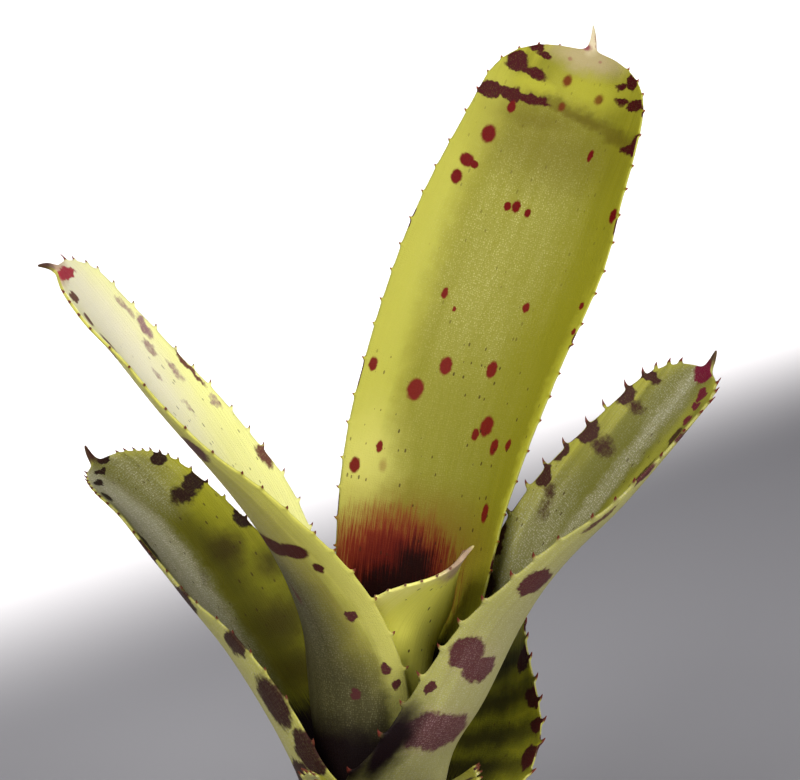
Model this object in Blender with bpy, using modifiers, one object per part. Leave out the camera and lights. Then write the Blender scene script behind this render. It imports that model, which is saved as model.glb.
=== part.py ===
"""A young neoregelia bromeliad: strap leaves nested round a short, cut stem with wiry roots.

The origin is the middle of the plant's box, on the table that its cut stem stands on. +Z is up,
and the viewer stands at -Y. Sizes are named in millimetres and angles in degrees, from the stem's
axis. The meshes are in metres.
"""

import math
from dataclasses import dataclass

import bmesh
import bpy
import numpy as np

MM = 0.001
AXIS_AT = (-0.7, 9.9, 0.0)   # where the stem's axis stands in the plant's box

# The nest: the cone of sheaths at the foot of the rosette, one layer outside the other.
LAYER_PITCH = 1.5          # one sheath and the gap to the next
NEST_OFFSET = -1.9         # radius of the innermost layer, less the flare
NEST_FLARE = 11.3          # radius that the nest gains with height
NEST_RISE = 25.0           # height over which it gains most of it
SEAT_GAP = 0.3             # clearance between a leaf and what carries it

# Leaf blades.
BLADE_THICK = 0.95         # at the midrib
EDGE_THICK = 0.65          # at the margins
FINE_STEPS = 400           # steps used to trace a midrib
SMOOTH_SPAN = 41           # of those steps, the span that a leaf's values are averaged over
POINT_WIDTH = 2.2          # width of a leaf's point where it starts
ROWS_APART = 4.8           # between a blade's rows, and so between its spines
SHEATH_ROWS_APART = 5.0
TIP_ROWS = 6
POINT_ROWS = 4
ACROSS = 8                 # faces across a leaf

# Spines on the margins.
SPINE_LENGTH = 1.0
SPINE_WIDTH = 0.8
SPINE_ROOM = 1.5           # shortest margin that carries one
SPINE_SWEEP = 0.45         # how far its tip is carried towards the leaf's tip

# The stem, stepped where each leaf grows from it.
STEM_STEPS = 32            # faces round the stem
CUT_RADIUS = 8.8
STUB_RADIUS = 10.9
SEAT_DROP = 0.3            # from a leaf's foot down to the shoulder that carries it
CROWN_HEIGHT = 3.0         # growing point above the last leaf's foot

# Wiry roots: direction, height at the stem, reach from the axis and sideways bend.
ROOT_RADIUS = 0.62
ROOT_POINTS = 9
ROOTS = (
    (15, 4.6, 22, 2.0),
    (68, 3.8, 19, -2.5),
    (118, 5.0, 24, 1.5),
    (172, 4.2, 20, -2.0),
    (222, 3.6, 22, 2.5),
    (268, 4.8, 25, -1.5),
    (318, 4.0, 21, 2.0),
)


@dataclass(frozen=True)
class Leaf:
    """One leaf. Each tuple holds values at even steps from the top of the sheath to the tip."""

    name: str
    layer: int         # 0 is the youngest leaf, innermost in the nest
    foot: float        # height of its foot on the stem
    sheath: float      # length that clasps the nest
    wrap: float        # half of the angle that the sheath goes round the nest
    length: float      # of the midrib, sheath and blade
    heading: tuple     # compass direction of the leaf, 0 at +X and 90 at +Y
    lean: tuple        # lean of the midrib from upright
    width: tuple       # width across the blade, along the curve
    cup: tuple         # half of the angle that the blade's channel turns through
    roll: tuple        # turn of the blade about its midrib
    tip: float         # length of the rounded end
    point: float       # length of the narrow point beyond it
    hook: float        # lean of the point's end
    colour: tuple


LEAVES = (
    Leaf("heart_leaf", layer=0, foot=20, sheath=28, wrap=100, length=50,
         heading=(308, 311, 320, 328), lean=(22, 32, 40, 36), width=(20, 22, 21, 17),
         cup=(68, 50, 40, 26), roll=(0, 8, -7, -20), tip=12, point=3, hook=50,
         colour=(0.62, 0.64, 0.14)),
    Leaf("tall_leaf", layer=1, foot=18, sheath=26, wrap=84, length=136,
         heading=(52, 49, 47, 44), lean=(6, 13, 26, 31, 32, 31), width=(28, 33.5, 35.5, 28.5),
         cup=(31, 32, 31, 50), roll=(0, -18, -33, -32), tip=13, point=4.5, hook=-8,
         colour=(0.55, 0.60, 0.12)),
    Leaf("left_upper_leaf", layer=2, foot=16, sheath=29, wrap=84, length=110,
         heading=(216, 197, 193, 206), lean=(14, 25, 36, 38, 37, 40), width=(30, 31.5, 24.5, 18.5),
         cup=(80, 57, 34, 15), roll=(0, 32), tip=9, point=3.5, hook=95,
         colour=(0.60, 0.64, 0.22)),
    Leaf("right_leaf", layer=3, foot=14, sheath=16, wrap=113, length=94,
         heading=(346, 347, 361, 368), lean=(46, 24, 29, 40, 37, 37), width=(38, 33, 26, 17),
         cup=(70, 70, 58, 28), roll=(0, -7, -23, -25), tip=9, point=3.5, hook=18,
         colour=(0.46, 0.52, 0.20)),
    Leaf("left_lower_leaf", layer=4, foot=12, sheath=14, wrap=108, length=80,
         heading=(150, 144, 150, 164), lean=(35, 38, 42, 41, 46, 57), width=(45, 37, 28, 20),
         cup=(86, 64, 44, 31), roll=(0, -4, 8, 17), tip=10, point=3.5, hook=20,
         colour=(0.40, 0.47, 0.18)),
    Leaf("front_leaf", layer=5, foot=10, sheath=8, wrap=84, length=65,
         heading=(275, 272), lean=(45, 68, 82, 88), width=(33, 28, 25, 22),
         cup=(56, 40, 28, 20), roll=(0, 0), tip=10, point=3.5, hook=95,
         colour=(0.42, 0.47, 0.18)),
    Leaf("back_leaf", layer=6, foot=8, sheath=11, wrap=82, length=56,
         heading=(52, 74, 75, 65), lean=(36, 50, 62, 71), width=(40, 34, 26, 20),
         cup=(30, 32, 44, 52), roll=(0, -5, 12, 26), tip=10, point=3.5, hook=60,
         colour=(0.45, 0.48, 0.10)),
)


def nest_radius(layer, z):
    """Inner radius of a sheath layer at height z."""
    return NEST_OFFSET + LAYER_PITCH * layer + NEST_FLARE * (1 - np.exp(-z / NEST_RISE))


def nest_lean(z):
    """Angle of the nest's wall from upright at height z, in radians."""
    return math.atan(NEST_FLARE / NEST_RISE * math.exp(-z / NEST_RISE))


def smoothed(values, window):
    """Values averaged twice over a window of samples, with the ends held."""
    kernel = np.hanning(window + 2)[1:-1]
    kernel /= kernel.sum()
    for _ in range(2):
        padded = np.pad(values, window, mode="edge")
        values = np.convolve(padded, kernel, mode="same")[window:-window]
    return values


def smoothstep(x):
    x = np.clip(x, 0.0, 1.0)
    return x * x * (3 - 2 * x)


class Trace:
    """A leaf's midrib with the frame, width and curvature of its cross-sections, at even steps."""

    def __init__(self, leaf):
        self.leaf = leaf
        whole = leaf.length + leaf.point
        count = FINE_STEPS + 1
        self.s = np.linspace(0.0, whole, count)
        blade = (self.s - leaf.sheath) / (leaf.length - leaf.sheath)

        def along(values):
            return smoothed(np.interp(blade, np.linspace(0, 1, len(values)), values), SMOOTH_SPAN)

        # How far the leaf has left the nest, from 0 to 1, and how far it is into its point.
        leave = smoothstep((self.s - leaf.sheath * 0.8) / (leaf.sheath * 0.2 + 10.0))
        into_point = smoothstep((self.s - leaf.length + 0.4 * leaf.point) / (1.4 * leaf.point))
        seat = math.radians(leaf.heading[0])
        heading = seat + leave * (np.radians(along(leaf.heading)) - seat)
        roll = leave * np.radians(along(leaf.roll))
        lean = np.radians(along(leaf.lean))
        lean += into_point * (math.radians(leaf.hook) - lean)
        cup = np.radians(along(leaf.cup))

        point = np.zeros((count, 3))
        radius = nest_radius(leaf.layer, leaf.foot) + BLADE_THICK / 2
        point[0] = radius * math.cos(seat), radius * math.sin(seat), leaf.foot
        leans = np.zeros(count)
        for i in range(count):
            nest = nest_lean(point[i, 2])
            leans[i] = nest + (lean[i] - nest) * leave[i]
            if i + 1 < count:
                out = math.sin(leans[i])
                point[i + 1] = point[i] + whole / FINE_STEPS * np.array(
                    (out * math.cos(heading[i]), out * math.sin(heading[i]), math.cos(leans[i])))
        self.point = point
        distance = np.hypot(point[:, 0], point[:, 1])
        clasp = 2 * math.radians(leaf.wrap) * distance
        belly = smoothstep((self.s - leaf.sheath * 0.6) / (leaf.sheath * 0.5 + 4.0))
        full = clasp + (along(leaf.width) - clasp) * belly
        self.curvature = (1 - leave) / distance + leave * 2 * cup / full

        # Sections lie flat in the nest and square to the midrib in the blade.
        tilt = leans * smoothstep((self.s - leaf.sheath) / 18.0)
        side = np.stack([np.sin(heading), -np.cos(heading), np.zeros(count)], axis=1)
        inward = np.stack([-np.cos(tilt) * np.cos(heading), -np.cos(tilt) * np.sin(heading),
                           np.sin(tilt)], axis=1)
        turn_c, turn_s = np.cos(roll)[:, None], np.sin(roll)[:, None]
        self.side = side * turn_c + inward * turn_s
        self.inward = inward * turn_c - side * turn_s

        # The end narrows as an ellipse, down to a point that tapers on.
        x = np.clip((self.s - (leaf.length - leaf.tip)) / leaf.tip, 0.0, 1.0)
        y = np.clip((self.s - (leaf.length - 2.0)) / (leaf.point + 2.0), 0.0, 1.0)
        point_width = POINT_WIDTH * (1 - 0.75 * y)
        self.width = np.maximum(full * np.sqrt(np.clip(1 - x ** 2.2, 0.0, 1.0)), point_width)

    def at(self, s, across):
        """Points and adaxial normals at lengths s and at shares across the width, -1 to 1."""
        s, across = np.asarray(s, float), np.asarray(across, float)

        def pick(field):
            if field.ndim == 1:
                return np.interp(s, self.s, field)
            return np.stack([np.interp(s, self.s, field[:, k]) for k in range(3)], axis=-1)

        width, curvature = pick(self.width), pick(self.curvature)
        side, inward, point = pick(self.side), pick(self.inward), pick(self.point)
        angle = across * width / 2 * curvature
        shift = np.sin(angle) / curvature
        rise = (1 - np.cos(angle)) / curvature
        where = point + side * shift[..., None] + inward * rise[..., None]
        normal = inward * np.cos(angle)[..., None] - side * np.sin(angle)[..., None]
        return where, normal

    def flat(self, s, offset):
        """Points of the middle surface at lengths s and at distances out from the midrib."""
        width = np.interp(s, self.s, self.width)
        return self.at(s, np.asarray(offset, float) / (width / 2))[0]


def leaf_rows(leaf):
    """Lengths along the midrib at which a leaf's faces start and end."""
    sheath = np.linspace(0, leaf.sheath, max(2, round(leaf.sheath / SHEATH_ROWS_APART)) + 1)
    blade_length = leaf.length - leaf.tip - leaf.sheath
    blade = np.linspace(leaf.sheath, leaf.length - leaf.tip, round(blade_length / ROWS_APART) + 1)
    turn = np.linspace(0, math.radians(80), TIP_ROWS + 1)
    tip = leaf.length - leaf.tip + leaf.tip * np.sin(turn)
    point = np.linspace(leaf.length, leaf.length + leaf.point, POINT_ROWS)
    return np.concatenate([sheath[:-1], blade[:-1], tip, point])


def add_spine(bm, edge, side, room):
    """Raises a spine in the middle of a margin edge of the flat leaf."""
    start, end = sorted(edge.verts, key=lambda v: v.co.x)
    first, last = start.co.copy(), end.co.copy()
    along = (last - first).normalized()
    out = along.cross((0, 0, -side))
    size = min(1.0, room / ROWS_APART + 0.35)
    middle = (first + last) / 2
    base = along * (SPINE_WIDTH * size * MM / 2)
    split = bmesh.ops.bisect_edges(bm, edges=[edge], cuts=3)["geom_split"]
    new = [v for v in split if isinstance(v, bmesh.types.BMVert)]
    near, tip, far = sorted(new, key=lambda v: (v.co - first).length)
    near.co = middle - base
    far.co = middle + base
    tip.co = middle + (out + along * SPINE_SWEEP) * (SPINE_LENGTH * size * MM)
    bmesh.ops.connect_verts(bm, verts=[near, far])


def build_leaf(leaf, collection):
    """One leaf: a flat outline with spines, wrapped on the leaf's surface and thickened."""
    trace = Trace(leaf)
    rows = leaf_rows(leaf)
    bm = bmesh.new()
    bmesh.ops.create_grid(bm, x_segments=len(rows) - 1, y_segments=ACROSS, size=1.0)
    margins = []
    for edge in bm.edges:
        if edge.is_boundary and abs(edge.verts[0].co.y - edge.verts[1].co.y) < 1e-6:
            margins.append((edge, 1 if edge.verts[0].co.y > 0 else -1))
    for vert in bm.verts:
        s = rows[round((vert.co.x + 1) / 2 * (len(rows) - 1))]
        half = np.interp(s, trace.s, trace.width) / 2
        vert.co = s * MM, vert.co.y * half * MM, 0.0
    for edge, side in margins:
        ends = [v.co.x / MM for v in edge.verts]
        room = edge.calc_length() / MM
        if min(ends) > leaf.sheath * 0.9 and max(ends) < leaf.length and room > SPINE_ROOM:
            add_spine(bm, edge, side, room)
    bmesh.ops.triangulate(bm, faces=bm.faces, quad_method="FIXED", ngon_method="EAR_CLIP")
    places = np.array([vert.co[:] for vert in bm.verts]) / MM
    wrapped = trace.flat(places[:, 0], places[:, 1])
    half = np.interp(places[:, 0], trace.s, trace.width) / 2
    middle = np.clip(1 - (places[:, 1] / np.maximum(half, POINT_WIDTH)) ** 2, 0, 1)
    for vert, place in zip(bm.verts, wrapped):
        vert.co = place * MM
    mesh = bpy.data.meshes.new(leaf.name)
    bm.to_mesh(mesh)
    bm.free()
    leaf_object = bpy.data.objects.new(leaf.name, mesh)
    group = leaf_object.vertex_groups.new(name="middle")
    for index, weight in enumerate(middle):
        group.add([index], float(weight), "REPLACE")
    collection.objects.link(leaf_object)
    leaf_object.location = [value * MM for value in AXIS_AT]
    shell = leaf_object.modifiers.new("blade", "SOLIDIFY")
    shell.thickness = BLADE_THICK * MM
    shell.offset = 0.0
    shell.vertex_group = "middle"
    shell.thickness_vertex_group = EDGE_THICK / BLADE_THICK
    mesh.shade_smooth()
    mesh.materials.append(plain_material(leaf.name, leaf.colour, 0.42))
    return leaf_object


def stem_profile():
    """Radius and height of the stem's outer side, from its growing point down to the cut end."""
    foot = min(LEAVES, key=lambda leaf: leaf.layer)
    radius = nest_radius(foot.layer, foot.foot) - SEAT_GAP
    crown = foot.foot + CROWN_HEIGHT
    profile = [(0.0, crown), (radius * 0.45, crown - 0.6), (radius * 0.85, crown - 1.8)]
    for leaf in sorted(LEAVES, key=lambda leaf: leaf.layer):
        radius = nest_radius(leaf.layer, leaf.foot) - SEAT_GAP
        profile.append((radius, leaf.foot + 0.6))
        profile.append((radius, leaf.foot - SEAT_DROP))
    profile.append((STUB_RADIUS, leaf.foot - SEAT_DROP))
    profile.append((STUB_RADIUS, leaf.foot - 2.2))
    profile.append((STUB_RADIUS - 0.8, 3.2))
    profile.append((CUT_RADIUS, 0.5))
    profile.append((CUT_RADIUS - 0.5, 0.0))
    profile.append((0.0, 0.0))
    return profile


def build_root(direction, height, reach, bend, index):
    """One root as a closed mesh: it leaves the stub, drops to the table and lies along it."""
    heading = math.radians(direction)
    out = np.array((math.cos(heading), math.sin(heading), 0.0))
    side = np.array((-out[1], out[0], 0.0))
    curve = bpy.data.curves.new(f"root_{index}", "CURVE")
    curve.dimensions = "3D"
    curve.bevel_depth = ROOT_RADIUS * MM
    curve.bevel_resolution = 1
    curve.use_fill_caps = True
    spline = curve.splines.new("POLY")
    spline.points.add(ROOT_POINTS - 1)
    for i, point in enumerate(spline.points):
        t = i / (ROOT_POINTS - 1)
        r = 7.0 + (reach - 7.0) * t
        z = ROOT_RADIUS + (height - ROOT_RADIUS) * (1 - smoothstep(t / 0.75))
        place = out * r + side * bend * math.sin(math.pi * 1.6 * t) * t
        point.co = (place[0] * MM, place[1] * MM, float(z) * MM, 1.0)
        point.radius = 1.0 - 0.3 * t * t
    tube = bpy.data.objects.new(curve.name, curve)
    bpy.context.scene.collection.objects.link(tube)
    bpy.context.view_layer.update()
    evaluated = tube.evaluated_get(bpy.context.evaluated_depsgraph_get())
    mesh = bpy.data.meshes.new_from_object(evaluated)
    bm = bmesh.new()
    bm.from_mesh(mesh)
    bmesh.ops.remove_doubles(bm, verts=bm.verts, dist=1e-6)
    bmesh.ops.recalc_face_normals(bm, faces=bm.faces)
    bm.to_mesh(mesh)
    bm.free()
    root = bpy.data.objects.new(f"root_{index}", mesh)
    bpy.data.objects.remove(tube)
    return root


def build_stem(collection):
    """The stem, turned from its profile, with its roots joined on."""
    profile = stem_profile()
    mesh = bpy.data.meshes.new("stem")
    points = [(radius * MM, 0.0, height * MM) for radius, height in profile]
    mesh.from_pydata(points, [(i, i + 1) for i in range(len(points) - 1)], [])
    stem = bpy.data.objects.new("stem", mesh)
    collection.objects.link(stem)
    stem.location = [value * MM for value in AXIS_AT]
    turned = stem.modifiers.new("turned", "SCREW")
    turned.steps = STEM_STEPS
    turned.render_steps = STEM_STEPS
    turned.use_merge_vertices = True
    turned.merge_threshold = 1e-5
    roots = bpy.data.collections.new("roots")
    bpy.context.scene.collection.children.link(roots)
    for index, values in enumerate(ROOTS):
        root = build_root(*values, index)
        root.location = stem.location
        roots.objects.link(root)
    joined = stem.modifiers.new("roots", "BOOLEAN")
    joined.operation = "UNION"
    joined.operand_type = "COLLECTION"
    joined.collection = roots
    bpy.context.view_layer.update()
    evaluated = stem.evaluated_get(bpy.context.evaluated_depsgraph_get())
    fused = bpy.data.meshes.new_from_object(evaluated)
    stem.modifiers.clear()
    stem.data = fused
    for root in list(roots.objects):
        bpy.data.objects.remove(root)
    bpy.data.collections.remove(roots)
    fused.shade_smooth()
    fused.set_sharp_from_angle(angle=math.radians(40))
    fused.materials.append(plain_material("stem", (0.20, 0.13, 0.07), 0.85))
    return stem


def plain_material(name, colour, roughness):
    material = bpy.data.materials.new(name)
    material.use_nodes = True
    shader = material.node_tree.nodes["Principled BSDF"]
    shader.inputs["Base Color"].default_value = (*colour, 1.0)
    shader.inputs["Roughness"].default_value = roughness
    shader.inputs["Metallic"].default_value = 0.0
    return material


def main():
    for old in list(bpy.data.objects):
        bpy.data.objects.remove(old)
    collection = bpy.data.collections.new("neoregelia_bromeliad")
    bpy.context.scene.collection.children.link(collection)
    for leaf in LEAVES:
        build_leaf(leaf, collection)
    build_stem(collection)


if __name__ == "__main__":
    main()
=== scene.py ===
"""Looks of a young neoregelia bromeliad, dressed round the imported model.

Sizes are named in millimetres and angles in degrees, as in the plant's construction, and the
meshes are in metres. +Z is up along the stem and the viewer stands at -Y.
"""

import logging
import math
from dataclasses import dataclass, field
from enum import Enum

import bmesh
import bpy
import numpy as np
from bpy.types import Curve, Material, Node, NodeTree, Object, bpy_prop_collection
from bpy.types import NodeSocket as Socket
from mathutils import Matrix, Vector


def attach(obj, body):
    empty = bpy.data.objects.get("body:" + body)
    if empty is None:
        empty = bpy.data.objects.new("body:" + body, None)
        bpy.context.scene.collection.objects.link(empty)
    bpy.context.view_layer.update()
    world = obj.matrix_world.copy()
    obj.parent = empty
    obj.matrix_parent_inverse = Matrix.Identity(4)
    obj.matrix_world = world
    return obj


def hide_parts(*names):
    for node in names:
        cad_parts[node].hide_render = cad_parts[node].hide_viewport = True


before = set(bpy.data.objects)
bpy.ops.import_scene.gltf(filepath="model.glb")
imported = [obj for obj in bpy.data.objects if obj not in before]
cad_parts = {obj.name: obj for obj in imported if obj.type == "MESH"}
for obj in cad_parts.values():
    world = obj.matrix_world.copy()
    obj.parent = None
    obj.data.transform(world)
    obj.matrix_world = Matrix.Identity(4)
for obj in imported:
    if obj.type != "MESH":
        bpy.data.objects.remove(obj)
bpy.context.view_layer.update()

LOG = logging.getLogger("bromeliad")
MM = 0.001
AXIS_AT = (-0.7, 9.9, 0.0)     # where the stem's axis stands in the plant's box

Pair = tuple[float, float]
Triple = tuple[float, float, float]
Colour = Triple                                # red, green and blue, linear
Number = Socket | float                        # a number, or the socket that gives it
Tint = Socket | Colour                         # a colour, or the socket that gives it
Value = Socket | float | tuple[float, ...]     # anything that an input can be given

# The nest: the cone of sheaths at the foot of the rosette, one layer outside the other.
LAYER_PITCH = 1.5
NEST_OFFSET = -1.9
NEST_FLARE = 11.3
NEST_RISE = 25.0
SEAT_GAP = 0.3

# Blades.
BLADE_THICK = 0.95             # at the midrib
EDGE_THICK = 0.55              # at the margins
SPINE_THICK = 0.16             # at a spine's tip
POINT_THINNING = 0.7           # how nearly the leaf's point gets as thin as a spine's tip
FINE_STEPS = 400               # steps used to trace a midrib
SMOOTH_SPAN = 41               # of those steps, the span that a leaf's values are averaged over
ROW_LENGTH = 1.15              # longest face along a margin
COLUMNS = 30                   # faces across a leaf

# Where a blade leaves its sheath: from a share of the sheath's length, over another share
# of it and a length.
LEAVE_FROM, LEAVE_SHARE, LEAVE_OVER = 0.8, 0.2, 10.0     # the midrib turns out of the nest
WIDEN_FROM, WIDEN_SHARE, WIDEN_OVER = 0.6, 0.5, 4.0      # the clasp takes the blade's width
TILT_OVER = 18.0               # length past the sheath over which the channel takes the lean

# A leaf's end.
POINT_WIDTH = 2.2              # width of a leaf's point where it starts
POINT_REACH = 2.0              # length of the tip that the point's width reaches back over
POINT_TAPER = 0.8              # power of the point's taper
TIP_ROUNDING = 2.2             # power of the tip's rounding
LEAST_WIDTH = 0.12
HOOK_FROM = 0.4                # where the hook starts, in the point's lengths before the point

# The unevenness of a blade.
RIPPLES = ((2.3, 0.5), (4.1, 0.8))   # length to a radian and share of the margin's wave
SWELL_LONG = 7.0               # length to a radian of the face's swelling, along the leaf
SWELL_WIDE = 5.0               # the same across it
SWELL_HEIGHT = 0.12
CALM_END = 6.0                 # length before the tip over which the unevenness dies out

# Spines.
SPINE_START = 0.95             # share of the sheath below the first spine
SPINE_STOP = 0.8               # length of the tip above the last spine
CLOSE_FROM = 8.0               # they close up from this far before the tip's bend
CLOSE_OVER = 12.0              # length over which they do
PITCH_SPREAD = (0.8, 1.2)      # least and most distance between two, as shares of their pitch
SIZE_SPREAD = (0.75, 1.15)     # shortest and longest spine, as shares of their length
LEAST_ROW = 0.2                # shortest face along a margin, as a share of a spine's base
SPINE_LEVELS = 4               # rings from a spine's root to its tip
SPINE_TAPER = 0.85             # power of a spine's taper
SPINE_TIP = 0.02               # half of the width that is left at its tip
SHOULDER = 0.55                # rise of the margin beside a spine, as a share of the rise at it
MATCH_PER_METRE = 1e7          # steps to a metre in which two vertices' places are compared


@dataclass(frozen=True)
class LeafForm:
    """The shape of one leaf, with tuples at even steps from the top of its sheath to its tip.

    Attributes:
        layer: Place in the nest, 0 for the youngest leaf.
        foot: Height of the leaf's foot on the stem.
        sheath: Length that clasps the nest.
        wrap: Half of the angle that the sheath goes round the nest.
        length: Length of the midrib, sheath and blade.
        heading: Compass direction, 0 at +X and 90 at +Y.
        lean: Lean of the midrib from upright.
        width: Width across the blade, along its curve.
        cup: Half of the angle that the blade's channel turns through.
        roll: Turn of the blade about its midrib.
        tip: Length of the rounded end.
        point: Length of the narrow point beyond it.
        hook: Lean of the point's end.
    """

    layer: int
    foot: float
    sheath: float
    wrap: float
    length: float
    heading: tuple[float, ...]
    lean: tuple[float, ...]
    width: tuple[float, ...]
    cup: tuple[float, ...]
    roll: tuple[float, ...]
    tip: float
    point: float
    hook: float


@dataclass(frozen=True)
class SpineRow:
    """The spines along a leaf's margins, and the margin's own unevenness.

    Attributes:
        pitch: Distance between spines on the blade.
        tip_pitch: Distance between them round the leaf's tip.
        length: How far a spine stands out.
        base: Width of its root.
        sweep: How far its tip is carried towards the leaf's tip, as a share of its length.
        scallop: How far the margin dips between spines.
        wave: How far the margin wanders out of the blade's curve.
    """

    pitch: float = 4.8
    tip_pitch: float = 2.4
    length: float = 1.1
    base: float = 0.8
    sweep: float = 0.45
    scallop: float = 0.16
    wave: float = 0.25


class Grain(Enum):
    """How a colour lies on a leaf."""

    WASH = "wash"          # soft, through the tissue, and the grain of painted shade and light
    SPOT = "spot"          # an even spot with a firm edge
    BLOTCH = "blotch"      # ragged, broken up by the scales that lie on it
    STREAK = "streak"      # runs out in fine lines along the leaf
    BLOOM = "bloom"        # a coat of pale scales
    FLECK = "fleck"        # sparse dark flecks


@dataclass(frozen=True)
class Mark:
    """An oval on a leaf, in millimetres from the leaf's foot and from its midrib.

    Attributes:
        along: Its centre's distance from the foot.
        across: Its centre's distance from the midrib.
        long: Half of its length.
        wide: Half of its width.
        turn: Its turn in the leaf's plane.
        soft: Share of its radius over which it fades, where that isn't its layer's.
        share: How much of the colour it carries, where that isn't its layer's.
    """

    along: float
    across: float
    long: float
    wide: float
    turn: float = 0.0
    soft: float | None = None
    share: float | None = None


@dataclass(frozen=True)
class Layer:
    """One colour on a leaf's face, where its marks are.

    Attributes:
        colour: The colour.
        grain: How it lies.
        soft: Share of a mark's radius over which it fades.
        share: How much of the colour a mark carries.
        marks: Where it lies.
    """

    colour: Colour
    grain: Grain = Grain.WASH
    soft: float = 0.4
    share: float = 1.0
    marks: tuple[Mark, ...] = ()


@dataclass(frozen=True)
class FaceFinish:
    """The tissue of one face of a leaf, and the colours that lie on it, painted shade and light among
    them.

    Attributes:
        middle: Colour along the middle of the blade.
        margin: Colour along its margins.
        vein: Colour of the fine lines between the ribs.
        spine: Colour of the spines and the margin's rim.
        roughness: Roughness of the bare cuticle.
        gloss: How strongly the cuticle mirrors light.
        scales: Height of the scales in the relief, from 0 to 1.
        layers: Colours in the order in which they lie on one another.
    """

    middle: Colour
    margin: Colour
    vein: Colour
    spine: Colour = (0.10, 0.015, 0.02)
    roughness: float = 0.42
    gloss: float = 0.18
    scales: float = 0.5
    layers: tuple[Layer, ...] = ()


def nest_radius(layer: float, z: float) -> float:
    """Inner radius of a sheath layer.

    Args:
        layer: Place in the nest.
        z: Height on the stem.

    Returns:
        The radius in millimetres.
    """
    return NEST_OFFSET + LAYER_PITCH * layer + NEST_FLARE * (1 - math.exp(-z / NEST_RISE))


def nest_lean(z: float) -> float:
    """Angle of the nest's wall from upright at height z, in radians."""
    return math.atan(NEST_FLARE / NEST_RISE * math.exp(-z / NEST_RISE))


def smoothed(values: np.ndarray, window: int) -> np.ndarray:
    """Averages values twice over a window of samples, with the ends held.

    Args:
        values: The samples.
        window: Number of samples in the window.

    Returns:
        As many samples, averaged.
    """
    kernel = np.hanning(window + 2)[1:-1]
    kernel /= kernel.sum()
    for _ in range(2):
        padded = np.pad(values, window, mode="edge")
        values = np.convolve(padded, kernel, mode="same")[window:-window]
    return values


def smoothstep(x: np.ndarray) -> np.ndarray:
    """Eases from 0 to 1.

    Args:
        x: Numbers, of which those from 0 to 1 are eased.

    Returns:
        The eased numbers.
    """
    x = np.clip(x, 0.0, 1.0)
    return x * x * (3 - 2 * x)


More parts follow.
